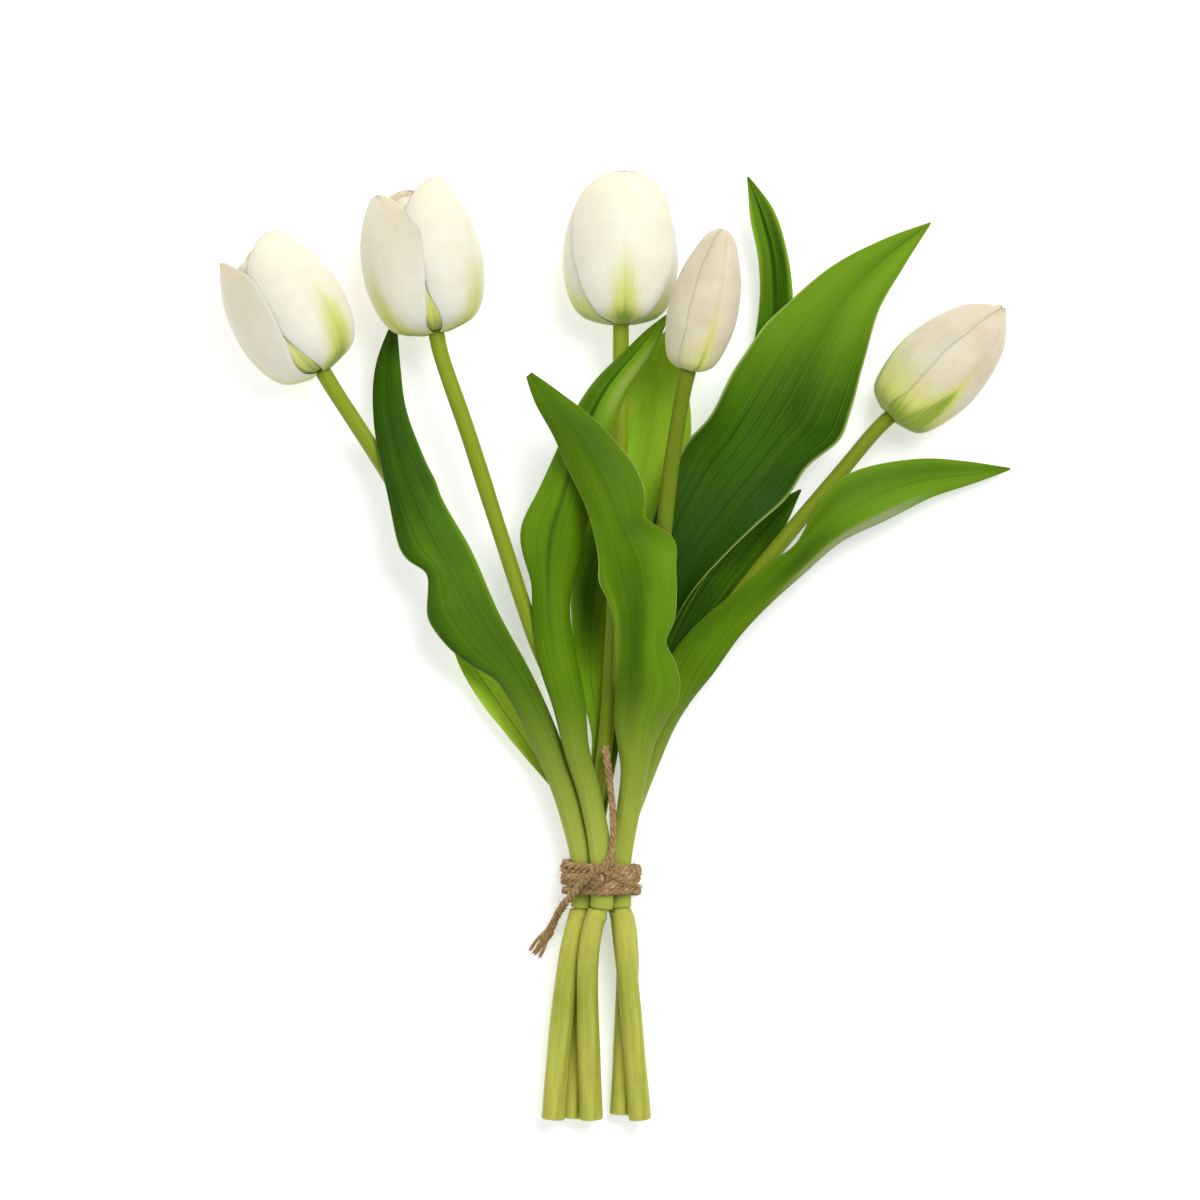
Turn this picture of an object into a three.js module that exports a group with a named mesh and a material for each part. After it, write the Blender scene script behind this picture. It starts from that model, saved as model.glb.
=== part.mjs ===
// A bunch of five white tulips, tied with jute twine and laid on its back on a surface.
// Millimetres. +Y runs from the cut ends to the blooms, +X to the right, +Z up.
// Routes are drawn from the middle of the tie, and the whole bunch is moved to its resting place at the end.

import * as THREE from 'three';
import { ParametricGeometry } from 'three/addons/geometries/ParametricGeometry.js';
import { mergeVertices } from 'three/addons/utils/BufferGeometryUtils.js';

// ---------------------------------------------------------------- driving dimensions

const BUNCH_LENGTH = 378; // cut ends to the highest leaf tip
const BUNCH_WIDTH = 318; // outermost petal on the left to the leaf tip on the right
const STEM_RADIUS = 3.1; // stem from the tie to the bloom
const CUT_END_RADIUS = 4.6; // stem at its cut end
const LEAF_THICKNESS = 1;
const PETAL_THICKNESS = 1.1;
const BLOOM_LENGTH = 60;
const BLOOM_RADIUS = 22.6;
const BUD_LENGTH = 57;
const BUD_RADIUS = 13.2;
const HALF_OPEN_LENGTH = 63;
const HALF_OPEN_RADIUS = 17;
const TWINE_DIAMETER = 2.7;
const TWINE_TURNS = 5;
const CLEARANCE = 0.3; // between pieces that rest on each other

// ---------------------------------------------------------------- sizes that follow from them

const DRAWN_LENGTH = 378; // the routes below are drawn at this length and width
const DRAWN_WIDTH = 318;
const LENGTHWISE = BUNCH_LENGTH / DRAWN_LENGTH;
const WIDTHWISE = BUNCH_WIDTH / DRAWN_WIDTH;

const DRAWN_STEM_RADIUS = 3.1; // the routes and rows below are drawn round these sizes
const DRAWN_BLOOM_RADIUS = 22.6;
const DRAWN_TIE_PITCH = 9.7;
const DRAWN_TIE_HALF_WIDTH = 7.5;
const DRAWN_BACK_ROW_HEIGHT = 7.85;

// A flat facet lies this far inside the curve it stands for, and further inside a wider one.
const FACET_ROOM = 0.3 * (STEM_RADIUS / DRAWN_STEM_RADIUS);
const PETAL_FACET_ROOM = 0.3 * (BLOOM_RADIUS / DRAWN_BLOOM_RADIUS) ** 2;
const SHEATH_RADIUS = STEM_RADIUS + CLEARANCE + FACET_ROOM + LEAF_THICKNESS / 2;
const WRAPPED_RADIUS = SHEATH_RADIUS + LEAF_THICKNESS / 2; // stem with a leaf sheath round it
const TIE_PITCH = 2 * WRAPPED_RADIUS + CLEARANCE; // neighbours inside the tie
const END_PITCH = 2 * CUT_END_RADIUS + CLEARANCE; // neighbours at the cut ends
const TWINE_PITCH = TWINE_DIAMETER + CLEARANCE;
const TIE_HALF_WIDTH = (TWINE_TURNS * TWINE_PITCH) / 2;
const SHEATH_START = -(TIE_HALF_WIDTH + 4); // leaf sheaths end in a shoulder just below the tie
const SHEATH_END = TIE_HALF_WIDTH + 10;

const CUT_ENDS = -97; // drawn distance of the cut ends below the tie
const BACK_ROW_HEIGHT = TWINE_DIAMETER + CLEARANCE + FACET_ROOM / 2 + WRAPPED_RADIUS;
const MIDDLE_ROW = 0.9; // rows above the back row inside the tie, in pitches
const FRONT_ROW = 1.53;

const STEM_COLOUR = 0x9aa83c;
const LEAF_COLOUR = 0x3f7a22;
const YOUNG_LEAF_COLOUR = 0x7fae2e;
const PETAL_COLOUR = 0xf3efe2;
const TWINE_COLOUR = 0x9a7444;

// ---------------------------------------------------------------- shape helpers

const WELD = 1e-4;

// Welds a surface's seams and drops the triangles that a collapsed end leaves without area.
function welded(surface) {
  surface.deleteAttribute('normal');
  surface.deleteAttribute('uv');
  const skin = mergeVertices(surface, WELD);
  const corners = skin.getIndex().array;
  const kept = [];
  for (let i = 0; i < corners.length; i += 3) {
    const [a, b, c] = [corners[i], corners[i + 1], corners[i + 2]];
    if (a !== b && b !== c && c !== a) {
      kept.push(a, b, c);
    }
  }
  skin.setIndex(kept);
  skin.computeVertexNormals();
  return skin;
}

// A closed lens-shaped skin over a sheet. sheet(across, along) gives a point and its normal, with
// across from -1 to 1 and along from 0 to 1. The two faces meet in a thin edge all the way round.
function lensSkin(sheet, thickness, facesAcross, facesAlong) {
  const surface = new ParametricGeometry(
    (turn, along, target) => {
      const face = turn < 0.5 ? -1 : 1;
      const across = turn < 0.5 ? 1 - 4 * turn : 4 * turn - 3;
      const { point, normal } = sheet(across, along);
      const end = Math.min(1, 12 * along, 12 * (1 - along));
      const edge = Math.max(0, 1 - across * across);
      target.copy(point).addScaledVector(normal, 0.5 * face * thickness * Math.sqrt(end) * edge ** 0.25);
    },
    2 * facesAcross,
    facesAlong,
  );
  return welded(surface);
}

// Reads rows of numbers at a share of the way along, on a smooth curve through all of them.
function readRows(rows, share) {
  const place = THREE.MathUtils.clamp(share, 0, 1) * (rows.length - 1);
  const i = Math.min(Math.floor(place), rows.length - 2);
  const f = place - i;
  const before = rows[Math.max(i - 1, 0)];
  const after = rows[Math.min(i + 2, rows.length - 1)];
  return rows[i].map((value, k) => {
    const next = rows[i + 1][k];
    const slopeIn = 0.5 * (next - before[k]);
    const slopeOut = 0.5 * (after[k] - value);
    const cubic = 2 * value - 2 * next + slopeIn + slopeOut;
    const square = 3 * next - 3 * value - 2 * slopeIn - slopeOut;
    return ((cubic * f + square) * f + slopeIn) * f + value;
  });
}

// ---------------------------------------------------------------- where the stems run

// Places inside the tie, as [across, row] in pitches.
const inTie = (across, row) => ({
  x: across * TIE_PITCH,
  z: BACK_ROW_HEIGHT + row * TIE_PITCH,
  // how far the place has moved from where it is drawn
  movedX: across * (TIE_PITCH - DRAWN_TIE_PITCH),
  movedZ: BACK_ROW_HEIGHT - DRAWN_BACK_ROW_HEIGHT + row * (TIE_PITCH - DRAWN_TIE_PITCH),
});
const slots = {
  left: inTie(-0.83, MIDDLE_ROW),
  front: inTie(-0.04, FRONT_ROW),
  right: inTie(0.75, MIDDLE_ROW),
  backLeft: inTie(-0.52, 0),
  backRight: inTie(0.52, 0),
};

// One stem: its slot in the tie, how it runs below the tie as [across, along, height] with across and
// height in end pitches, its bloom, and the drawn points above the tie.
const tulips = [
  {
    name: 'left',
    slot: slots.left,
    below: [[-0.98, -15.5, 1.68], [-1.34, -30, 1.5], [-1.7, -56, 1.32], [-2.08, CUT_ENDS, 1.2]],
    above: [
      [-12, 24, 16.5], [-18, 44, 17], [-27, 64, 17.5], [-41, 86, 18.5], [-56, 108, 19.5],
      [-69, 130, 20.5], [-84.5, 160, 20.5],
    ],
    bloom: {
      base: [-111.5, 203], tilt: -31, pitch: 0, spin: 45,
      open: 0.5, length: BLOOM_LENGTH - 1.5, radius: BLOOM_RADIUS,
    },
  },
  {
    name: 'left_centre',
    slot: slots.front,
    below: [[-0.26, -15.5, 2.34], [-0.56, -30, 2.05], [-0.6, -56, 1.55], [-0.46, CUT_ENDS, 1.1]],
    above: [[-3, 26, 20.5], [-9, 50, 22], [-17, 73, 23], [-27, 97, 24], [-40, 136, 26], [-53.4, 178, 28]],
    bloom: {
      base: [-66, 218], tilt: -12, pitch: 0, spin: 62,
      open: 0.52, length: BLOOM_LENGTH + 0.5, radius: BLOOM_RADIUS + 1, raised: 5,
    },
  },
  {
    name: 'centre',
    slot: slots.backLeft,
    below: [[-0.58, -15.5, 0.78], [-0.72, -30, 0.66], [-0.98, -56, 0.56], [-1.3, CUT_ENDS, 0.5]],
    above: [[-2.5, 28, 10], [1.5, 56, 13], [5, 112, 17.5], [7, 168, 21]],
    bloom: {
      base: [7.6, 222], tilt: 0, pitch: 0, spin: 4,
      open: 0.45, length: BLOOM_LENGTH, radius: BLOOM_RADIUS,
    },
  },
  {
    name: 'right_centre',
    slot: slots.right,
    below: [[0.82, -15.5, 1.73], [0.98, -30, 1.63], [1.24, -56, 1.5], [1.6, CUT_ENDS, 1.14]],
    above: [[10.5, 26, 17], [13, 44, 20], [18.5, 88, 27], [24, 134, 34], [28, 168, 39]],
    bloom: {
      base: [34.4, 203], tilt: 13.7, pitch: 5, spin: 24,
      open: 0.1, length: BUD_LENGTH, radius: BUD_RADIUS, raised: 32,
    },
  },
  {
    name: 'right',
    slot: slots.backRight,
    below: [[0.88, -15.5, 0.74], [1.08, -30, 0.66], [1, -56, 0.56], [0.8, CUT_ENDS + 1.5, 0.5]],
    above: [[13, 34, 9.5], [25, 67, 11.5], [47, 103, 14], [73, 136, 16.5], [95, 162, 17.5]],
    bloom: {
      base: [115.6, 185.2], tilt: 46, pitch: 0, spin: 38,
      open: 0.08, length: HALF_OPEN_LENGTH, radius: HALF_OPEN_RADIUS,
    },
  },
];

const drawn = (x, y, z) => new THREE.Vector3(x * WIDTHWISE, y * LENGTHWISE, z);

// A drawn point above the tie, which follows its stem's slot. It moves with the slot next to the tie,
// and less and less on the way to the bloom.
function fromTie(slot, x, y, z, lift = 0) {
  const share = 1 - THREE.MathUtils.smoothstep(y, 40, 170);
  const point = drawn(x, y, z);
  point.x += share * slot.movedX;
  point.y += share * (TIE_HALF_WIDTH - DRAWN_TIE_HALF_WIDTH);
  point.z += share * slot.movedZ + lift;
  return point;
}

// Where a bloom stands on its stem, and which way it points.
function bloomPlace({ base, tilt, pitch, radius, raised = 0 }) {
  const lean = THREE.MathUtils.degToRad(tilt);
  const rise = THREE.MathUtils.degToRad(pitch);
  const foot = drawn(base[0], base[1], radius + PETAL_THICKNESS / 2 + raised);
  const level = Math.cos(rise);
  const axis = new THREE.Vector3(Math.sin(lean) * level, Math.cos(lean) * level, Math.sin(rise));
  return { foot, axis, lean, rise };
}

const STEM_TOP = 1.6; // the stem's rounded top stands this far inside the petals
const NECK = 8; // the last stretch of stem runs straight into the bloom

// The middle line of a stem, from its cut end to inside its bloom.
function stemRoute({ slot, below, above, bloom }) {
  const { foot, axis } = bloomPlace(bloom);
  const points = [];
  for (const [x, y, z] of [...below].reverse()) {
    const share = 1 - THREE.MathUtils.smoothstep(-y, 16, 60);
    const point = new THREE.Vector3(x * END_PITCH, y * LENGTHWISE, z * END_PITCH);
    point.x += share * slot.movedX;
    point.y -= share * (TIE_HALF_WIDTH - DRAWN_TIE_HALF_WIDTH);
    point.z += share * slot.movedZ;
    points.push(point);
  }
  points.push(new THREE.Vector3(slot.x, SHEATH_START, slot.z));
  points.push(new THREE.Vector3(slot.x, TIE_HALF_WIDTH, slot.z));
  for (const [x, y, z] of above) {
    points.push(fromTie(slot, x, y, z));
  }
  points.push(foot.clone().addScaledVector(axis, -NECK));
  points.push(foot.clone().addScaledVector(axis, STEM_TOP));
  return new THREE.CatmullRomCurve3(points, false, 'centripetal');
}

// The point of a stem's middle line at a distance along the bunch.
function stemAt(route, y) {
  let low = 0;
  let high = 1;
  for (let i = 0; i < 24; i += 1) {
    const middle = (low + high) / 2;
    if (route.getPoint(middle).y < y) {
      low = middle;
    } else {
      high = middle;
    }
  }
  return route.getPoint((low + high) / 2);
}

// ---------------------------------------------------------------- stems

const STEM_SIDES = 8;
const STEM_STEPS = 18;
const UP = new THREE.Vector3(0, 0, 1);

// A stem is thick at its cut end, narrows at the shoulder under the tie and rounds off in its bloom.
function stemRadius(point, share, route) {
  const cutEnd = route.getPoint(0).y;
  const shoulder = SHEATH_START - 2;
  const below = THREE.MathUtils.clamp((shoulder - point.y) / (shoulder - cutEnd), 0, 1);
  const radius = point.y > shoulder ? STEM_RADIUS : THREE.MathUtils.lerp(0.93, 1, below) * CUT_END_RADIUS;
  return share > 0.995 ? 0.45 * STEM_RADIUS : radius;
}

function stemGeometry(route) {
  const shoulderLow = SHEATH_START - 3;
  const places = [];
  const lowest = route.getPoint(0).y;
  for (let i = 0; i <= 4; i += 1) {
    places.push(THREE.MathUtils.lerp(lowest, shoulderLow, i / 4));
  }
  const centres = places.map((y) => (y === lowest ? route.getPoint(0) : stemAt(route, y)));
  for (const y of [SHEATH_START - 1, -TIE_HALF_WIDTH, TIE_HALF_WIDTH]) {
    centres.push(stemAt(route, y));
  }
  const routeTop = route.getPoint(1);
  const neck = route.getPoint(0.985).y;
  for (let i = 1; i <= STEM_STEPS - 8; i += 1) {
    centres.push(stemAt(route, THREE.MathUtils.lerp(TIE_HALF_WIDTH, neck, i / (STEM_STEPS - 8))));
  }
  centres.push(routeTop);
  const last = centres.length - 1;
  const surface = new ParametricGeometry(
    (turn, along, target) => {
      const i = Math.round(along * (last + 2)) - 1;
      const k = THREE.MathUtils.clamp(i, 0, last);
      const ahead = centres[Math.min(k + 1, last)];
      const behind = centres[Math.max(k - 1, 0)];
      const run = ahead.clone().sub(behind).normalize();
      const side = new THREE.Vector3().crossVectors(run, UP).normalize();
      const top = new THREE.Vector3().crossVectors(side, run);
      const radius = i < 0 || i > last ? 0 : stemRadius(centres[k], k / last, route);
      const angle = -2 * Math.PI * turn;
      target.copy(centres[k]);
      target.addScaledVector(side, radius * Math.cos(angle));
      target.addScaledVector(top, radius * Math.sin(angle));
    },
    STEM_SIDES,
    last + 2,
  );
  return welded(surface);
}

// ---------------------------------------------------------------- petals

const PETAL_SPAN = THREE.MathUtils.degToRad(56); // half the angle that one petal covers
const INNER_STEP = PETAL_THICKNESS + CLEARANCE + PETAL_FACET_ROOM; // inner petals inside the outer ones
const BASE_RADIUS = STEM_RADIUS + CLEARANCE + PETAL_THICKNESS / 2; // petals stand round the stem

// The side line of a bloom, as [share of the radius, share of the length] from base to tip.
function bloomProfile(open) {
  const nearTip = 0.5 + 0.5 * open;
  return [[0, 0], [0.55, 0.05], [0.83, 0.16], [0.98, 0.34], [1, 0.5], [0.93, 0.68], [nearTip, 0.85], [open, 1]];
}

const PETAL_FOOT = 0.35; // share of a petal's width that is left at its foot

// Width of a petal along its length: round shoulders near the foot and a blunt tip.
function petalShape(along) {
  const middle = Math.max(Math.sin(Math.PI * along ** 0.7), 0) ** 0.35;
  const foot = PETAL_FOOT * (1 - 4 * along);
  return Math.max(middle, foot);
}

function petalGeometry(bloom, inset, facesAcross, facesAlong) {
  const line = bloomProfile(bloom.open);
  const reach = bloom.length - (inset > 0 ? 3 : 0);
  const at = (along) => {
    const [out, up] = readRows(line, along);
    return new THREE.Vector2(BASE_RADIUS + out * (bloom.radius - BASE_RADIUS), up * reach);
  };
  const sheet = (across, along) => {
    const step = 0.01;
    const here = at(along);
    const run = at(Math.min(along + step, 1)).sub(at(Math.max(along - step, 0))).normalize();
    const out = new THREE.Vector2(run.y, -run.x);
    const radius = Math.max(here.x - inset * out.x, 0.6);
    const height = here.y - inset * out.y;
    const angle = across * PETAL_SPAN * petalShape(along);
    const point = new THREE.Vector3(radius * Math.sin(angle), height, radius * Math.cos(angle));
    const normal = new THREE.Vector3(out.x * Math.sin(angle), out.y, out.x * Math.cos(angle));
    return { point, normal };
  };
  return lensSkin(sheet, PETAL_THICKNESS, facesAcross, facesAlong);
}

// ---------------------------------------------------------------- leaves

// A leaf's rows are [across, along, height, left width, right width, cup, roll]: its middle line, its
// half widths, how far it cups in degrees (above 0 the edges bend down, below 0 up), and how it rolls
// about its middle line. A clasping leaf's first rows wrap its stem through the tie. The others start
// on their stem above it.
const leaves = [
  {
    name: 'leaf_left_long', stem: 0, clasp: 1, young: false,
    roll: 0, opening: [[35, 1.1, 98, 0], [52, 1.4, 74, 0]],
    rows: [
      [-33, 78, 26.5, 8, 7, 50, 0], [-50, 103, 30.3, 16, 10, 38, 0],
      [-60.5, 124, 31.5, 11.6, 10.5, 32, 0], [-68.5, 139, 32, 14, 11.6, 30, 0],
      [-77.4, 159, 31, 11.2, 11, 34, 0],
      [-84, 183, 27.5, 8, 8, 38, 0], [-86, 204, 19.5, 5.6, 6, 40, 0], [-83, 226, 9, 0.4, 0.4, 30, 0],
    ],
  },
  {
    name: 'leaf_left_low', stem: 0, clasp: 0, young: true,
    rows: [
      [-17, 36, 9.5, 2.5, 3, -40, 0], [-26, 48, 8.5, 3.8, 5.5, -38, 0], [-35, 61, 8.5, 5.2, 7, -32, 0],
      [-44, 74, 9, 6, 7, -28, 0], [-53, 87, 10, 5, 6, -25, 0], [-61, 97, 11.5, 0.4, 0.4, -20, 0],
    ],
  },
  {
    name: 'leaf_centre_folded', stem: 1, clasp: 1, over: 1, young: false,
    roll: 0, opening: [[35, 1.1, 98, 0], [52, 1.4, 74, 0]],
    rows: [
      [-12.5, 70, 30, 8.5, 8.5, 50, 0], [-17.5, 91, 32, 10, 10, 40, 0],
      [-20, 112, 33.5, 10.5, 11, 36, 0], [-18.5, 134, 34.5, 15.5, 14, 34, 0], [-13.5, 153, 34, 14, 13.5, 34, 0],
      [-7, 175, 32.5, 10, 11.5, 36, 0], [2.5, 195, 31.5, 9, 9, 38, 0], [16, 212, 32, 6, 6, 38, 0],
      [26.5, 225.5, 32, 0.4, 0.4, 30, 0],
    ],
  },
  {
    name: 'leaf_front', stem: 3, clasp: 1, young: false,
    roll: 0, opening: [[32, 1.1, 98, 0], [45, 1.4, 76, 0]],
    rows: [
      [14, 62, 31, 11, 11, 52, 0], [17, 76, 35.5, 14.5, 15, 40, 0],
      [16.5, 92, 39.5, 12.5, 13, 36, 0], [17, 108, 43, 14, 14, 34, 0], [14.5, 126, 45.5, 15, 16, 34, 0],
      [8, 141, 46.5, 12.5, 13, 34, 0], [1.5, 158, 46, 12.5, 13, 36, 0], [-8, 176, 44.5, 12, 9.5, 38, 0],
      [-20.4, 190.6, 44, 7, 5.5, 40, 0], [-29, 201, 44.5, 0.4, 0.4, 30, 0],
    ],
  },
  {
    name: 'leaf_back_wide', stem: 2, clasp: -1, young: true,
    roll: 0, opening: [[36, 1.1, 98, 0], [56, 1.4, 74, 0]],
    rows: [
      [0.5, 80, 6.8, 9, 9, -50, 0], [2, 100, 6.8, 11.5, 11, -38, 0],
      [6, 122, 6.5, 15, 14, -30, 0], [11, 143, 6.2, 17, 17, -27, 0], [16, 163, 6, 18, 18, -25, 0],
      [19.5, 183, 6, 16, 17, -25, 0], [22, 202, 6.5, 11.5, 12, -25, 0], [26, 220, 8, 0.4, 0.4, -20, 0],
    ],
  },
  {
    name: 'leaf_right_large', stem: 3, clasp: 0, young: false,
    rows: [
      [17.5, 74, 19.5, 3.5, 3.5, -60, 0], [19.5, 95, 21.5, 6.5, 6.5, -50, 0], [25, 114, 22.5, 10, 10, -38, 0],
      [34, 134, 22, 17, 15.5, -30, 0], [47, 154, 20.5, 22, 20.5, -27, 0], [62, 173, 19, 24, 24, -26, 0],
      [75, 193, 18.5, 25.5, 25.5, -26, 0], [86, 213, 19.5, 21.5, 21.5, -28, 0],
      [99, 234, 22, 14.5, 14.5, -30, 0],
      [114.5, 249.4, 26, 7.4, 8.6, -30, 0], [131, 262, 30, 0.4, 0.4, -20, 0],
    ],
  },
  {
    name: 'leaf_right_inner', stem: 4, clasp: 0, young: false,
    rows: [
      [25, 78, 5, 3, 3, -45, 0], [33, 96, 4.2, 7, 7, -34, 0], [43, 112, 4.2, 9.5, 9, -28, 0],
      [54, 127, 4.6, 10, 10, -26, 0], [66, 141, 5.4, 7.5, 7.5, -24, 0], [80, 156, 7, 0.4, 0.4, -20, 0],
    ],
  },
  {
    name: 'leaf_back_narrow', stem: 4, clasp: 0, young: false,
    rows: [
      [19, 80, 12, 3, 3, -50, 0], [27, 104, 11.8, 5, 5, -42, 0], [38, 127, 11.5, 6.5, 6.5, -36, 0],
      [50, 150, 11, 7.5, 7.5, -34, 0], [60, 175, 11, 8, 8, -34, 0], [67, 200, 11.5, 8, 8, -36, 0],
      [70, 225, 13, 6.5, 6.5, -40, 0], [69.2, 248, 15.5, 5.6, 5.6, -46, 0], [64.6, 266, 18, 4.6, 4.6, -46, 0],
      [58.4, 281, 20, 0.4, 0.4, -30, 0],
    ],
  },
  {
    name: 'leaf_right_trailing', stem: 4, clasp: 1, young: false,
    roll: 90, opening: [[34, 1.1, 100, 80], [50, 1.35, 80, 60]],
    rows: [
      [29, 68, 17.5, 8.5, 8.5, 55, 32], [36, 84, 19.5, 9.5, 9.5, 42, 12],
      [47, 99, 20.5, 8.5, 8.5, 36, 0], [61, 113, 22, 7, 8, 34, 0], [75, 127, 23.5, 6, 8.4, 34, 0],
      [89, 141, 24.5, 9, 9.8, 34, 0], [106, 152.5, 22, 11, 11.5, 30, 0], [127, 160, 16.5, 8.5, 8.5, 28, 0],
      [147, 162.5, 10, 5, 5, 26, 0], [164.4, 164.4, 5, 0.4, 0.4, 20, 0],
    ],
  },
];

const CLASP_CUP = 118; // a clasping sheath reaches this many degrees round its stem on both sides

// The rows that keep a clasping leaf round its stem: closed through the tie, then opening above it.
// Each is [along, share of the sheath's radius, cup, roll].
function sheathRows({ clasp, roll, opening }, route) {
  const places = [SHEATH_START, -TIE_HALF_WIDTH, 0, TIE_HALF_WIDTH, SHEATH_END];
  const closed = places.map((y) => [y, 1, CLASP_CUP, roll]);
  const wider = TIE_HALF_WIDTH - DRAWN_TIE_HALF_WIDTH;
  const opened = opening.map(([y, share, cup, turned]) => [y + wider, share, cup, turned]);
  return [...closed, ...opened].map(([y, share, cup, turned]) => {
    const { face } = sectionFrame(stemAt(route, y - 1), stemAt(route, y + 1), turned);
    const radius = share * SHEATH_RADIUS;
    const middle = stemAt(route, y).addScaledVector(face, clasp * radius);
    const half = radius * THREE.MathUtils.degToRad(cup);
    return [middle.x, middle.y, middle.z, half, half, clasp * cup, turned];
  });
}

// The directions of a section between two points of a line: the way it runs, the way it faces after
// it is rolled by so many degrees, and the way its width goes.
function sectionFrame(behind, ahead, roll) {
  const run = ahead.clone().sub(behind).normalize();
  const side = new THREE.Vector3().crossVectors(run, UP).normalize();
  const over = new THREE.Vector3().crossVectors(side, run);
  const turn = THREE.MathUtils.degToRad(roll);
  const face = over.clone().multiplyScalar(Math.cos(turn)).addScaledVector(side, Math.sin(turn));
  const wide = side.clone().multiplyScalar(Math.cos(turn)).addScaledVector(over, -Math.sin(turn));
  return { run, face, wide };
}

// A blade that lies over its stem rises with a thicker stem, and with wider blooms beside it.
function bladeLift({ clasp, over = 0 }, y) {
  const byBlooms = over * THREE.MathUtils.smoothstep(y, 150, 195) * (BLOOM_RADIUS - DRAWN_BLOOM_RADIUS);
  return Math.max(clasp, 0) * (STEM_RADIUS - DRAWN_STEM_RADIUS) + byBlooms;
}

function leafGeometry(leaf, route) {
  const rows = leaf.clasp === 0 ? [] : sheathRows(leaf, route);
  for (const [x, y, z, left, right, cup, roll] of leaf.rows) {
    const middle = fromTie(tulips[leaf.stem].slot, x, y, z, bladeLift(leaf, y));
    rows.push([middle.x, middle.y, middle.z, left, right, cup, roll]);
  }
  const place = (along) => new THREE.Vector3(...readRows(rows, along).slice(0, 3));
  const sheet = (across, along) => {
    const step = 0.004;
    const [x, y, z, left, right, cup, roll] = readRows(rows, along);
    const behind = place(Math.max(along - step, 0));
    const ahead = place(Math.min(along + step, 1));
    const { face, wide } = sectionFrame(behind, ahead, roll);
    const half = across < 0 ? left : right;
    const bend = THREE.MathUtils.degToRad(cup);
    const radius = half / bend;
    const angle = across * bend;
    const point = new THREE.Vector3(x, y, z);
    point.addScaledVector(wide, radius * Math.sin(angle));
    point.addScaledVector(face, -radius * (1 - Math.cos(angle)));
    const normal = face.clone().multiplyScalar(Math.cos(angle)).addScaledVector(wide, Math.sin(angle));
    return { point, normal };
  };
  const facesAlong = 2 * (rows.length - 1);
  return lensSkin(sheet, LEAF_THICKNESS, 6, facesAlong);
}

// ---------------------------------------------------------------- twine

const TWINE_SIDES = 8;
const STEPS_PER_TURN = 24;

const twineSection = new THREE.Shape();
twineSection.absarc(0, 0, TWINE_DIAMETER / 2, 0, 2 * Math.PI);

function twineTube(points, steps) {
  const path = new THREE.CatmullRomCurve3(points, false, 'centripetal');
  const tube = new THREE.ExtrudeGeometry(twineSection, {
    steps,
    extrudePath: path,
    bevelEnabled: false,
    curveSegments: TWINE_SIDES,
  });
  return welded(tube);
}

// The twine goes round the sheaths as a band goes round a bundle: in each direction it lies against
// the sheath that sticks out furthest.
function wrapPoint(angle, y) {
  const out = { x: Math.cos(angle), z: Math.sin(angle) };
  const reach = (slot) => slot.x * out.x + slot.z * out.z;
  const furthest = Object.values(slots).reduce((a, b) => (reach(a) >= reach(b) ? a : b));
  const away = WRAPPED_RADIUS + CLEARANCE + FACET_ROOM / 2 + TWINE_DIAMETER / 2;
  return new THREE.Vector3(furthest.x + away * out.x, y, furthest.z + away * out.z);
}

function wrapsGeometry() {
  const points = [];
  const total = TWINE_TURNS * STEPS_PER_TURN;
  for (let i = 0; i <= total; i += 1) {
    const angle = (2 * Math.PI * i) / STEPS_PER_TURN - Math.PI / 2;
    const travelled = ((TWINE_TURNS - 1) * TWINE_PITCH * i) / total;
    points.push(wrapPoint(angle, TWINE_PITCH / 2 - TIE_HALF_WIDTH + travelled));
  }
  return twineTube(points, total);
}

const wrapsTop = slots.front.z + WRAPPED_RADIUS + CLEARANCE + TWINE_DIAMETER;
const KNOT_RADIUS = 2.3;
const KNOT_TUBE = 0.95;
const knotHeight = wrapsTop + CLEARANCE + KNOT_RADIUS / 2 + KNOT_TUBE;

// The two free ends. The long one drops beside the bundle and ends on the surface, and the short one
// lies in the groove between the two front sheaths.
const tailLift = TWINE_DIAMETER / 2 + CLEARANCE;
const lowerTail = [
  [-6.4, 0.5, knotHeight], [-8.6, -2, knotHeight - 2.2], [-10.6, -4.6, knotHeight - 4.4], [-12.6, -7, 25.2],
  [-14.4, -9.2, 22.9], [-15.8, -11.2, 19.6], [-16.9, -13, 15.9], [-17.8, -14.8, 12.3], [-18.7, -16.6, 9],
  [-19.6, -18.6, 6.2], [-20.7, -20.9, 4], [-22.1, -23.4, 2.5], [-23.8, -26, tailLift + 0.1],
  [-25.5, -28.5, tailLift], [-27.2, -31, tailLift],
];
const upperTail = [
  [1.4, 5.4, knotHeight], [2.6, 7.8, 31.2], [3.5, 10.4, 29.4], [4.1, 13.2, 27.8], [4.4, 16.2, 26.5],
  [4.5, 19.4, 25.4], [4.4, 22.8, 24.6], [4.3, 26.2, 24], [4.1, 29.8, 23.6], [3.7, 33.4, 23.3],
  [3.3, 37.2, 23], [2.9, 41, 22.7], [2.4, 45, 22.4], [1.9, 49, 22.2], [1.4, 53, 22],
];

function tailGeometry(route) {
  const points = route.map(([x, y, z]) => new THREE.Vector3(x, y, z));
  return twineTube(points, route.length - 1);
}

// ---------------------------------------------------------------- the bunch

const bunch = new THREE.Group();

function addPiece(name, geometry, color, roughness, parent = bunch) {
  const mesh = new THREE.Mesh(geometry, new THREE.MeshStandardMaterial({ color, roughness, metalness: 0 }));
  mesh.name = name;
  parent.add(mesh);
  return mesh;
}

const routes = tulips.map(stemRoute);

tulips.forEach((tulip, i) => {
  addPiece(`stem_${tulip.name}`, stemGeometry(routes[i]), STEM_COLOUR, 0.55);
});

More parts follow.
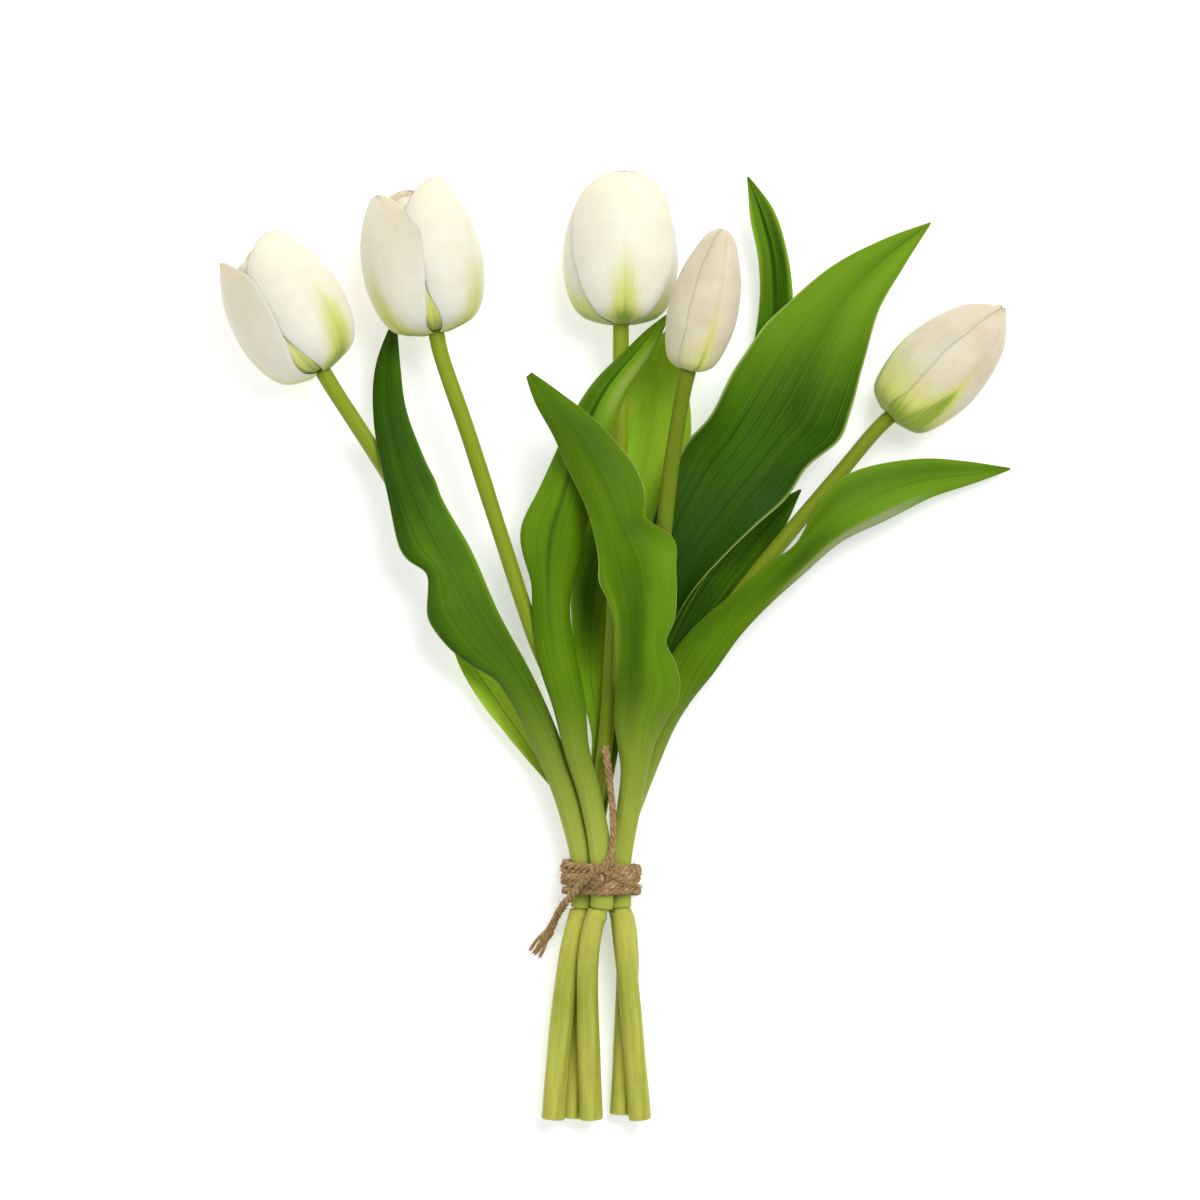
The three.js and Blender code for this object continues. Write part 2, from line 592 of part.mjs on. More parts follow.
for (const { name, bloom } of tulips) {
  const { foot, lean, rise } = bloomPlace(bloom);
  const head = new THREE.Group();
  head.position.copy(foot);
  head.rotation.set(rise, 0, -lean, 'ZXY');
  const outer = petalGeometry(bloom, 0, 6, 8);
  const inner = petalGeometry(bloom, INNER_STEP, 5, 7);
  for (let i = 0; i < 3; i += 1) {
    const spin = THREE.MathUtils.degToRad(bloom.spin + 120 * i);
    addPiece(`petal_${name}_outer_${i + 1}`, outer, PETAL_COLOUR, 0.5, head).rotation.y = spin;
    addPiece(`petal_${name}_inner_${i + 1}`, inner, PETAL_COLOUR, 0.5, head).rotation.y = spin + Math.PI / 3;
  }
  bunch.add(head);
}

for (const leaf of leaves) {
  const colour = leaf.young ? YOUNG_LEAF_COLOUR : LEAF_COLOUR;
  addPiece(leaf.name, leafGeometry(leaf, routes[leaf.stem]), colour, 0.45);
}

addPiece('twine_wraps', wrapsGeometry(), TWINE_COLOUR, 0.9);
const knot = new THREE.TorusKnotGeometry(KNOT_RADIUS, KNOT_TUBE, 30, 6, 2, 3);
addPiece('twine_knot', welded(knot), TWINE_COLOUR, 0.9).position.set(-1.4, 2, knotHeight);

// The bunch rests on z = 0, with the middle of its outline over the origin. The free ends of the
// twine don't count.
bunch.updateMatrixWorld(true);
const outline = new THREE.Box3().setFromObject(bunch, true);
const middle = outline.getCenter(new THREE.Vector3());
addPiece('twine_end_long', tailGeometry(lowerTail), TWINE_COLOUR, 0.9);
addPiece('twine_end_short', tailGeometry(upperTail), TWINE_COLOUR, 0.9);
bunch.position.set(-middle.x, -middle.y, -outline.min.z);

export default bunch;
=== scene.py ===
"""A tied bunch of five white tulips, lying on its back on a pale floor.

Every piece is a surface worked out as a formula of two numbers, on a grid. The tables hold
millimetres, measured from the middle of the tie: x to the right, y towards the blooms and z up from
the floor. The finished pieces are in metres, in the frame of the solid model.
"""

import math

import bpy
import numpy as np
from bpy.props import FloatProperty, FloatVectorProperty, IntProperty, PointerProperty
from bpy.types import Operator, Panel, PropertyGroup
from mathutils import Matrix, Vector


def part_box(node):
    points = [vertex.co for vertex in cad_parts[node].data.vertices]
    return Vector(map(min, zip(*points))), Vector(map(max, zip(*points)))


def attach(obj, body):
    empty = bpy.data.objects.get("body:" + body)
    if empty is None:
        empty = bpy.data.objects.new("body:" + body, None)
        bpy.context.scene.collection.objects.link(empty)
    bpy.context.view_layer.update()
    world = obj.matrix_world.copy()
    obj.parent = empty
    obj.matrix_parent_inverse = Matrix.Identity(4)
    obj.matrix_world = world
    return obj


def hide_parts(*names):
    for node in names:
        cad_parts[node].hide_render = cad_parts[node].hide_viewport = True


bl_info = {
    "name": "Tulip bunch",
    "version": (1, 0, 0),
    "blender": (4, 5, 0),
    "location": "3D View > Sidebar > Tulips",
    "description": "A bunch of white tulips tied with jute twine",
    "category": "Add Mesh",
}

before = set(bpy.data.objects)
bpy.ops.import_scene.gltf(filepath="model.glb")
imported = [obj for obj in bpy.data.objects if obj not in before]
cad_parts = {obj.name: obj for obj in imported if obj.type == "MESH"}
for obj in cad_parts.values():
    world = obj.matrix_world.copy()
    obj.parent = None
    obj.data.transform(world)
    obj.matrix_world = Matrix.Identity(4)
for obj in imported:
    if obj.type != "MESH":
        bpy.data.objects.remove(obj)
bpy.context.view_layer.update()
MM = 0.001
UP = np.array([0.0, 0.0, 1.0])
ALONG = np.array([0.0, 1.0, 0.0])

# ------------------------------------------------------------------ sizes of the solid model, in mm

STEM_RADIUS = 3.1
CUT_END_RADIUS = 4.6
CLEARANCE = 0.3
FACET_ROOM = 0.3
SHEET_THICKNESS = 1.0
WRAPPED_RADIUS = STEM_RADIUS + CLEARANCE + FACET_ROOM + SHEET_THICKNESS
TIE_PITCH = 2 * WRAPPED_RADIUS + CLEARANCE
END_PITCH = 2 * CUT_END_RADIUS + CLEARANCE
TWINE_DIAMETER = 2.7
TWINE_TURNS = 5
TWINE_PITCH = TWINE_DIAMETER + CLEARANCE
TIE_HALF_WIDTH = TWINE_TURNS * TWINE_PITCH / 2
SHEATH_RADIUS = STEM_RADIUS + CLEARANCE + FACET_ROOM + SHEET_THICKNESS / 2
SHEATH_START = -(TIE_HALF_WIDTH + 4)
SHEATH_END = TIE_HALF_WIDTH + 10
CUT_ENDS = -97
BACK_ROW = TWINE_DIAMETER + CLEARANCE + FACET_ROOM / 2 + WRAPPED_RADIUS
MIDDLE_ROW = BACK_ROW + 0.9 * TIE_PITCH
FRONT_ROW = MIDDLE_ROW + 0.63 * TIE_PITCH

SLOTS = {
    "left": (-0.83 * TIE_PITCH, MIDDLE_ROW),
    "front": (-0.04 * TIE_PITCH, FRONT_ROW),
    "right": (0.75 * TIE_PITCH, MIDDLE_ROW),
    "back_left": (-0.52 * TIE_PITCH, BACK_ROW),
    "back_right": (0.52 * TIE_PITCH, BACK_ROW),
}


def tie_centre():
    """Where the middle of the tie is in the frame: halfway along the wraps, over the floor."""
    low, high = (np.array(corner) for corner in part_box("twine_wraps"))
    middle = (low + high) / 2
    off_centre = (SLOTS["left"][0] + SLOTS["right"][0]) / 2 * MM
    return np.array([middle[0] - off_centre, middle[1], 0.0])


TIE = tie_centre()

# The stem runs straight into the bloom for NECK below its foot and ends STEM_TOP inside it.
NECK = 8
STEM_TOP = 1.6

# Each tulip: its slot in the tie, its points below the tie as (x, y, z) with x and z in pitches of the
# cut ends, its points above the tie, and its bloom. A bloom has the (x, y) of its foot, a tilt in the
# plane of the floor and a pitch out of it, a spin about its own axis, how far it is open as a share of
# its radius, and how high it is raised off the floor. rounding is where its petals start to round off,
# and shade darkens its stem.
TULIPS = {
    "left": dict(
        slot="left",
        below=[(-0.98, -15.5, 1.68), (-1.34, -30, 1.5), (-1.7, -56, 1.32), (-2.08, CUT_ENDS, 1.2)],
        above=[(-12, 24, 16.5), (-18, 44, 17), (-27, 64, 17.5), (-41, 86, 18.5), (-56, 108, 19.5),
               (-69, 130, 20.5), (-84.5, 160, 20.5)],
        base=(-111.5, 203), tilt=-31, pitch=0, spin=45, open=0.5, length=58.5, radius=22.6, raised=0,
        rounding=0.7,
    ),
    "left_centre": dict(
        slot="front",
        below=[(-0.26, -15.5, 2.34), (-0.56, -30, 2.05), (-0.6, -56, 1.55), (-0.46, CUT_ENDS, 1.1)],
        above=[(-3, 26, 20.5), (-9, 50, 22), (-17, 73, 23), (-27, 97, 24), (-40, 136, 26),
               (-53.4, 178, 28)],
        base=(-66, 218), tilt=-12, pitch=0, spin=62, open=0.52, length=60.5, radius=23.6, raised=5,
        rounding=0.72,
    ),
    "centre": dict(
        slot="back_left",
        below=[(-0.58, -15.5, 0.78), (-0.72, -30, 0.66), (-0.98, -56, 0.56), (-1.3, CUT_ENDS, 0.5)],
        above=[(-2.5, 28, 10), (1.5, 56, 13), (5, 112, 17.5), (7, 168, 21)],
        base=(7.6, 222), tilt=0, pitch=0, spin=4, open=0.51, length=60, radius=22.6, raised=0,
    ),
    "right_centre": dict(
        slot="right",
        below=[(0.82, -15.5, 1.73), (0.98, -30, 1.63), (1.24, -56, 1.5), (1.6, CUT_ENDS, 1.14)],
        above=[(10.5, 26, 17), (13, 44, 20), (18.5, 88, 27), (24, 134, 34), (28, 168, 39)],
        base=(34.4, 203), tilt=13.7, pitch=5, spin=24, open=0.1, length=57, radius=13.2, raised=32,
        shade=0.55,
    ),
    "right": dict(
        slot="back_right",
        below=[(0.88, -15.5, 0.74), (1.08, -30, 0.66), (1, -56, 0.56), (0.8, CUT_ENDS + 1.5, 0.5)],
        above=[(13, 34, 9.5), (25, 67, 11.5), (47, 103, 14), (73, 136, 16.5), (95, 162, 17.5)],
        base=(115.6, 185.2), tilt=46, pitch=0, spin=38, open=0.08, length=63, radius=17, raised=0,
        shade=0.4,
    ),
}

# ------------------------------------------------------------------ lines and sections


def unit(vectors):
    """The same directions with length one."""
    return vectors / np.maximum(np.linalg.norm(vectors, axis=-1, keepdims=True), 1e-9)


def ease(low, high, value):
    """0 below low, 1 above high, and a smooth S between them."""
    share = np.clip((value - low) / (high - low), 0, 1)
    return share * share * (3 - 2 * share)


def read_rows(rows, share):
    """Rows of numbers read at shares of the way along: a cubic through every row, whose slope at a row
    is half the step from the row before to the row after."""
    rows = np.asarray(rows, float)
    place = np.clip(share, 0, 1) * (len(rows) - 1)
    i = np.minimum(place.astype(int), len(rows) - 2)
    f = (place - i)[:, None]
    here, there = rows[i], rows[i + 1]
    slope_in = 0.5 * (there - rows[np.maximum(i - 1, 0)])
    slope_out = 0.5 * (rows[np.minimum(i + 2, len(rows) - 1)] - here)
    cubic = 2 * here - 2 * there + slope_in + slope_out
    square = 3 * there - 3 * here - 2 * slope_in - slope_out
    return ((cubic * f + square) * f + slope_in) * f + here


def smooth_line(points, count):
    """A centripetal curve through points: a cubic between neighbours, whose knots are spaced by the
    square root of the distance between them."""
    points = np.asarray(points, float)
    padded = np.vstack([2 * points[0] - points[1], points, 2 * points[-1] - points[-2]])
    place = np.linspace(0, len(points) - 1, count)
    i = np.minimum(place.astype(int), len(points) - 2)
    f = (place - i)[:, None]
    p0, p1, p2, p3 = (padded[i + k] for k in range(4))
    steps = (p1 - p0, p2 - p1, p3 - p2)
    d0, d1, d2 = (np.sqrt(np.linalg.norm(step, axis=1))[:, None] for step in steps)
    slope_in = d1 * ((p1 - p0) / d0 - (p2 - p0) / (d0 + d1) + (p2 - p1) / d1)
    slope_out = d1 * ((p2 - p1) / d1 - (p3 - p1) / (d1 + d2) + (p3 - p2) / d2)
    cubic = 2 * p1 - 2 * p2 + slope_in + slope_out
    square = 3 * p2 - 3 * p1 - 2 * slope_in - slope_out
    return ((cubic * f + square) * f + slope_in) * f + p1


def wide_spaced(count, share):
    """Places from -1 to 1 that crowd towards both ends: a share of a quarter turn of a sine each way."""
    quarter = math.pi / 2 * share
    return np.sin(np.linspace(-1, 1, count) * math.pi / 2 * share) / math.sin(quarter)


def sections(line, facing=UP):
    """At each point of a line: the way it runs, the way across it, and the way it faces."""
    run = unit(np.gradient(line, axis=0))
    across = unit(np.cross(run, np.broadcast_to(facing, run.shape)))
    return run, across, np.cross(across, run)


def bloom_axis(tulip):
    """Where a bloom stands on its stem, and the direction that it points in."""
    lean, rise = math.radians(tulip["tilt"]), math.radians(tulip["pitch"])
    height = tulip["radius"] + PETAL_SOLID_THICKNESS / 2 + tulip["raised"]
    foot = np.array([*tulip["base"], height])
    axis = np.array([math.sin(lean) * math.cos(rise), math.cos(lean) * math.cos(rise), math.sin(rise)])
    return foot, axis


def stem_line(tulip, count=500):
    """The middle line of a stem, from its cut end to just inside its bloom."""
    foot, axis = bloom_axis(tulip)
    x, z = SLOTS[tulip["slot"]]
    below = [(a * END_PITCH, y, b * END_PITCH) for a, y, b in reversed(tulip["below"])]
    through = [(x, SHEATH_START, z), (x, TIE_HALF_WIDTH, z)]
    into_bloom = [foot - NECK * axis, foot + STEM_TOP * axis]
    return smooth_line([*below, *through, *tulip["above"], *into_bloom], count)


def distance_along(line):
    """How far each point of a line is from its start, along the line."""
    return np.concatenate([[0], np.cumsum(np.linalg.norm(np.diff(line, axis=0), axis=1))])


def line_at(line, y):
    """The points of a line at distances y along the bunch."""
    y = np.atleast_1d(y)
    return np.stack([np.interp(y, line[:, 1], line[:, k]) for k in range(3)], axis=1)


# ------------------------------------------------------------------ meshes


class Skin:
    """Collects points, faces, UV corners and painted masks for one mesh."""

    def __init__(self):
        self.points, self.faces, self.corners, self.masks, self.count = [], [], [], {}, 0

    def add(self, points, faces, corners, **masks):
        self.faces += [tuple(face) for face in (np.asarray(faces) + self.count).tolist()]
        self.corners.append(np.asarray(corners).reshape(-1, 2))
        self.points.append(points)
        for name, values in masks.items():
            self.masks.setdefault(name, []).append(values)
        self.count += len(points)

    def make(self, name, material):
        """The collected surface as an object in metres, in the frame of the solid model."""
        mesh = bpy.data.meshes.new(name)
        points = np.vstack(self.points) * MM + TIE
        mesh.from_pydata(points.tolist(), [], self.faces)
        uv = mesh.uv_layers.new(name="UVMap")
        uv.data.foreach_set("uv", np.vstack(self.corners).astype(np.float32).ravel())
        for mask, values in self.masks.items():
            layer = mesh.attributes.new(mask, "FLOAT", "POINT")
            layer.data.foreach_set("value", np.concatenate(values).astype(np.float32))
        mesh.materials.append(material)
        mesh.polygons.foreach_set("use_smooth", np.full(len(mesh.polygons), True))
        mesh.validate()
        mesh.update()
        piece = bpy.data.objects.new(name, mesh)
        bpy.context.scene.collection.objects.link(piece)
        return piece


def quads(grid):
    """The four corners of each cell of a grid, in order round the cell."""
    return np.stack([grid[:-1, :-1], grid[:-1, 1:], grid[1:, 1:], grid[1:, :-1]], axis=2)


def add_shell(skin, middle, normal, thickness, **masks):
    """A sheet with thickness: the middle surface moved half its thickness each way along its normals,
    with both faces sharing the points of the rim, where the thickness has run out to nothing."""
    rows, columns = middle.shape[:2]
    top = np.arange(rows * columns).reshape(rows, columns)
    bottom = top.copy()
    inside = bottom[1:-1, 1:-1]
    inside[:] = rows * columns + np.arange(inside.size).reshape(inside.shape)
    half = (thickness / 2)[..., None] * normal
    points = np.vstack([(middle + half).reshape(-1, 3), (middle - half)[1:-1, 1:-1].reshape(-1, 3)])
    across, along = np.meshgrid(np.linspace(0, 1, columns), np.linspace(0, 1, rows))
    uv = np.stack([masks.pop("across", across), masks.pop("along", along)], axis=2)
    uv_quads = quads(uv).reshape(-1, 4, 2)
    faces = np.vstack([quads(top).reshape(-1, 4), quads(bottom).reshape(-1, 4)[:, ::-1]])
    corners = np.vstack([uv_quads, uv_quads[:, ::-1]])
    a, b, c, d = (points[faces[:, k]] for k in range(4))
    volume = np.einsum("ij,ij->", a, np.cross(b, c)) + np.einsum("ij,ij->", a, np.cross(c, d))
    if volume < 0:
        faces, corners = faces[:, ::-1], corners[:, ::-1]
    painted = {k: np.concatenate([v.ravel(), v[1:-1, 1:-1].ravel()]) for k, v in masks.items()}
    skin.add(points, faces, corners, **painted)


def add_tube(skin, line, radii, sides, facing=UP, turns=0.0, relief=None, **masks):
    """A round section carried along a line, closed at both ends. radii is one radius for each point of
    the line, the section turns by turns radians a millimetre, and relief(angle, distance) adds to it."""
    _, across, face = sections(line, facing)
    distance = distance_along(line)
    steps = len(line)
    angles, distances = np.meshgrid(-np.arange(sides) / sides * 2 * math.pi, distance)
    radius = np.broadcast_to(np.asarray(radii, float).reshape(-1, 1), angles.shape)
    if relief is not None:
        radius = radius + relief(angles, distances)
    turned = angles + turns * distances
    ring = across[:, None] * np.cos(turned)[..., None] + face[:, None] * np.sin(turned)[..., None]
    points = (line[:, None] + radius[..., None] * ring).reshape(-1, 3)
    ids = np.arange(steps * sides).reshape(steps, sides)
    after = np.roll(ids, -1, axis=1)
    faces = np.stack([ids[:-1], after[:-1], after[1:], ids[1:]], axis=2).reshape(-1, 4)
    uv = np.stack(np.meshgrid(np.arange(sides + 1) / sides, distance), axis=2)
    painted = {k: np.concatenate([np.repeat(v, sides), v[[0, -1]]]) for k, v in masks.items()}
    start = skin.count
    skin.add(np.vstack([points, line[[0, -1]]]), faces, quads(uv), **painted)
    for end, middle, order in ((0, steps * sides, [0, 2, 1]), (-1, steps * sides + 1, [0, 1, 2])):
        fan = np.stack([np.full(sides, middle), ids[end], after[end]], axis=1)[:, order]
        skin.faces += [tuple(face) for face in (fan + start).tolist()]
        skin.corners.append(np.full((sides * 3, 2), (0.5, distance[end])))


def finish_piece(piece, material_slot, *nodes):
    """Ties a finished piece to the one body of the bunch and hides the solids that it stands for."""
    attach(piece, "root")
    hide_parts(*nodes)
    return piece


# ------------------------------------------------------------------ materials


class Shader:
    """A short way to write a node material: values are sockets or numbers."""

    def __init__(self, name):
        self.material = bpy.data.materials.new(name)
        self.material.use_nodes = True
        self.tree = self.material.node_tree
        self.tree.nodes.clear()
        self.surface = self.node("ShaderNodeBsdfPrincipled")
        output = self.node("ShaderNodeOutputMaterial")
        self.tree.links.new(self.surface.outputs[0], output.inputs["Surface"])

    def node(self, kind, **settings):
        made = self.tree.nodes.new(kind)
        for key, value in settings.items():
            setattr(made, key, value)
        return made

    def put(self, socket, value):
        """Links a socket into another one, or sets it to a number or a colour."""
        if isinstance(value, bpy.types.NodeSocket):
            self.tree.links.new(value, socket)
        elif hasattr(socket.default_value, "__len__") and hasattr(value, "__len__") and len(value) == 3:
            socket.default_value = (*value, 1) if len(socket.default_value) == 4 else tuple(value)
        else:
            socket.default_value = value

    def math(self, operation, a, b=0.0, clamp=False):
        made = self.node("ShaderNodeMath", operation=operation, use_clamp=clamp)
        self.put(made.inputs[0], a)
        self.put(made.inputs[1], b)
        return made.outputs[0]

    def mask(self, name):
        """One of the masks painted on the piece."""
        made = self.node("ShaderNodeAttribute", attribute_type="GEOMETRY", attribute_name=name)
        return made.outputs["Fac"]

    def uv(self, scale_across, scale_along):
        """The piece's own UV map, stretched."""
        source = self.node("ShaderNodeUVMap", uv_map="UVMap")
        mapping = self.node("ShaderNodeMapping")
        self.put(mapping.inputs["Vector"], source.outputs[0])
        mapping.inputs["Scale"].default_value = (scale_across, scale_along, 1)
        return mapping.outputs[0]

    def place(self):
        return self.node("ShaderNodeTexCoord").outputs["Object"]

    def noise(self, vector, scale, detail=3.0, roughness=0.55):
        made = self.node("ShaderNodeTexNoise")
        self.put(made.inputs["Vector"], vector)
        made.inputs["Scale"].default_value = scale
        made.inputs["Detail"].default_value = detail
        made.inputs["Roughness"].default_value = roughness
        return made.outputs["Fac"]

    def bands(self, vector, scale, distortion, detail_scale=2.0):
        """Soft stripes across the first coordinate."""
        made = self.node("ShaderNodeTexWave", wave_type="BANDS", bands_direction="X")
        self.put(made.inputs["Vector"], vector)
        made.inputs["Scale"].default_value = scale
        made.inputs["Distortion"].default_value = distortion
        made.inputs["Detail"].default_value = 2
        made.inputs["Detail Scale"].default_value = detail_scale
        return made.outputs["Fac"]

    def between(self, value, low, high, out_low=0.0, out_high=1.0):
        """value carried from one range to another, smoothly, and held at the ends."""
        made = self.node("ShaderNodeMapRange", interpolation_type="SMOOTHSTEP")
        for socket, number in zip(made.inputs, (value, low, high, out_low, out_high)):
            self.put(socket, number)
        return made.outputs[0]

    def mix(self, share, first, second, blend="MIX"):
        made = self.node("ShaderNodeMix", data_type="RGBA", blend_type=blend, clamp_factor=True)
        self.put(made.inputs["Factor"], share)
        first_colour, second_colour = made.inputs[6], made.inputs[7]
        self.put(first_colour, first)
        self.put(second_colour, second)
        return made.outputs[2]

    def bump(self, height, distance, strength=1.0, over=None):
        made = self.node("ShaderNodeBump")
        self.put(made.inputs["Height"], height)
        made.inputs["Distance"].default_value = distance
        made.inputs["Strength"].default_value = strength
        if over is not None:
            self.put(made.inputs["Normal"], over)
        return made.outputs[0]

    def set(self, **sockets):
        for name, value in sockets.items():
            self.put(self.surface.inputs[name.replace("_", " ")], value)


def petal_material(name, colours, ground, patches, blush, rim):
    """Waxy white petal: green at the foot and up the midrib, faint veins, a warm tint in the hollows that
    is part beige blush and part painted shade, and a painted highlight along the edge.
    """
    s = Shader(name)
    veins = s.noise(s.uv(46, 1.6), 1.0, 4)
    blotch = s.noise(s.place(), 90, 3)
    ivory = s.mix(s.between(blotch, 0.3, 0.75), ground, patches)
    # warm mask: beige blush, part of it painted shade on the petals turned away from the light
    ivory = s.mix(s.math("MULTIPLY", s.mask("warm"), blush), ivory, colours.petal_blush_and_shade)
    streaked = s.math("MULTIPLY", s.mask("green"), s.between(veins, 0.25, 0.75, 0.86, 1.14))
    foot = s.mix(s.between(streaked, 0.5, 1.1), colours.petal_lime, colours.petal_green)
    colour = s.mix(s.between(streaked, 0.02, 0.62), ivory, foot)
    colour = s.mix(s.math("MULTIPLY", s.between(veins, 0.35, 0.8), 0.16), colour, patches, "MULTIPLY")
    # edge mask: a painted highlight along the petal edges, with rim setting how strong it is
    colour = s.mix(s.math("MULTIPLY", s.mask("edge"), rim), colour, colours.petal_highlight)
    s.set(Base_Color=colour, Roughness=s.between(veins, 0.2, 0.8, 0.45, 0.58))
    s.set(Subsurface_Weight=0.5, Subsurface_Scale=0.003, Specular_IOR_Level=0.16, Sheen_Weight=0.1)
    s.surface.inputs["Subsurface Radius"].default_value = (1.0, 0.8, 0.45)
    s.surface.inputs["Sheen Roughness"].default_value = 0.5
    s.set(Normal=s.bump(veins, 0.0002, 0.5, s.bump(blotch, 0.0005, 0.25)))
    return s.material


def leaf_material(name, colours, deep, mid, light):
    """Waxy leaf: parallel veins from end to end, a paler midrib, a painted highlight on the rim, painted
    light and painted shade over parts of the blade, pale towards the sheath.
    """
    s = Shader(name)
    streaks = s.noise(s.uv(52, 1.1), 1.0, 5, 0.6)
    broad = s.noise(s.uv(2.4, 3.6), 1.0, 3)
    lines = s.between(s.noise(s.uv(30, 0.5), 1.0, 2), 0.56, 0.66)
    ribs = s.bands(s.uv(1, 0.3), 9.5, 0.9)
    mottle = s.noise(s.place(), 22, 4)
    colour = s.mix(s.between(mottle, 0.3, 0.6, 0.35, 1.0), deep, mid)
    colour = s.mix(s.math("MULTIPLY", s.between(broad, 0.4, 0.62), 0.5), colour, deep)
    colour = s.mix(s.math("MULTIPLY", s.between(streaks, 0.42, 0.78), 0.34), colour, light)
    colour = s.mix(s.math("MULTIPLY", s.between(ribs, 0.6, 1.0), 0.12), colour, deep)
    colour = s.mix(s.math("MULTIPLY", lines, 0.7), colour, deep)
    colour = s.mix(s.math("MULTIPLY", s.mask("rib"), 0.5), colour, deep)
    # painted light: the glow mask lightens towards the light green, and past 1 towards the highlight colour
    colour = s.mix(s.mask("glow"), colour, light)
    colour = s.mix(s.math("SUBTRACT", s.mask("glow"), 1.0, clamp=True), colour, colours.leaf_highlight)
    # painted shade: the shade mask darkens towards the dark green
    colour = s.mix(s.mask("shade"), colour, colours.leaf_dark_and_shade)
    sheath = s.mix(s.between(streaks, 0.3, 0.7), colours.sheath, colours.sheath_dark)
    colour = s.mix(s.mask("pale"), colour, sheath)
    # painted highlight along the rim of the leaf
    colour = s.mix(s.math("MULTIPLY", s.mask("rim"), 0.55), colour, colours.leaf_highlight)
    colour = s.mix(s.mask("under"), colour, colours.leaf_under)
    s.set(Base_Color=colour, Roughness=s.between(streaks, 0.3, 0.75, 0.4, 0.55))
    s.set(Specular_IOR_Level=0.07, Subsurface_Weight=0.1, Subsurface_Scale=0.001)
    s.surface.inputs["Subsurface Radius"].default_value = (0.5, 1.0, 0.1)
    grain = s.bump(ribs, 0.0001, 0.5)
    s.set(Normal=s.bump(streaks, 0.0004, 0.5, s.bump(mottle, 0.0012, 0.2, grain)))
    return s.material


def stem_material(name, colours):
    """Smooth juicy stem: yellow at the cut end, greener towards the bloom, with faint streaks."""
    s = Shader(name)
    streaks = s.noise(s.uv(14, 0.03), 1.0, 4)
    mottle = s.noise(s.place(), 60, 4)
    colour = s.mix(s.mask("low"), colours.stem, colours.stem_low)
    colour = s.mix(s.math("MULTIPLY", s.between(streaks, 0.35, 0.7), 0.5), colour, colours.stem_dark)
    colour = s.mix(s.math("MULTIPLY", s.between(mottle, 0.5, 0.8), 0.4), colour, colours.stem_dark)
    colour = s.mix(s.mask("shade"), colour, colours.stem_shade)
    colour = s.mix(s.mask("cut"), colour, colours.stem_cut)
    s.set(Base_Color=colour, Roughness=s.between(streaks, 0.3, 0.7, 0.4, 0.52))
    s.set(Specular_IOR_Level=0.16, Subsurface_Weight=0.2, Subsurface_Scale=0.0015)
    s.surface.inputs["Subsurface Radius"].default_value = (0.8, 1.0, 0.3)
    s.set(Normal=s.bump(streaks, 0.00035, 0.5, s.bump(mottle, 0.0006, 0.3)))
    return s.material


def twine_material(name, colours):
    """Jute: long fibres along each ply, pale and dark by turns, quite matt."""
    s = Shader(name)
    fibres = s.noise(s.uv(9, 0.55), 1.0, 5, 0.65)
    clumps = s.noise(s.place(), 420, 3)
    colour = s.mix(s.between(fibres, 0.3, 0.72), colours.twine_dark, colours.twine)
    colour = s.mix(s.math("MULTIPLY", s.between(clumps, 0.45, 0.75), 0.7), colour, colours.twine_light)
    s.set(Base_Color=colour, Roughness=0.92, Specular_IOR_Level=0.1, Sheen_Weight=0.12)
    s.surface.inputs["Sheen Roughness"].default_value = 0.6
    s.set(Normal=s.bump(fibres, 0.00035, 1.0, s.bump(clumps, 0.0003, 0.6)))
    return s.material


def floor_material(name, colour, glow):
    """A plain matt table top that gives off a little light of its own."""
    s = Shader(name)
    s.set(Base_Color=colour, Roughness=0.8, Specular_IOR_Level=0.1)
    s.set(Emission_Color=colour, Emission_Strength=glow)
    return s.material


# ------------------------------------------------------------------ petals

PETAL_SOLID_THICKNESS = 1.1
PETAL_FOOT = STEM_RADIUS + CLEARANCE + PETAL_SOLID_THICKNESS / 2
INNER_STEP = 1.5
PETAL_GRID = (64, 49)

# Half the angle of a petal at even steps from its foot to its tip, as shares of its span. The tip
# rounds off as well, from ROUNDING or BUD_ROUNDING of the way up.
PETAL_WIDTHS = [[0.58], [0.62], [0.7], [0.83], [0.94], [1.02], [1.06], [1.07], [1.07]]
ROUNDING = 0.82
BUD_ROUNDING = 0.94
BUD_OPENING = 0.3
INNER_PETAL = (60, 0, 0.0, 0.0, 0.92, 0.25, 0.1, 0.6, 0.16)

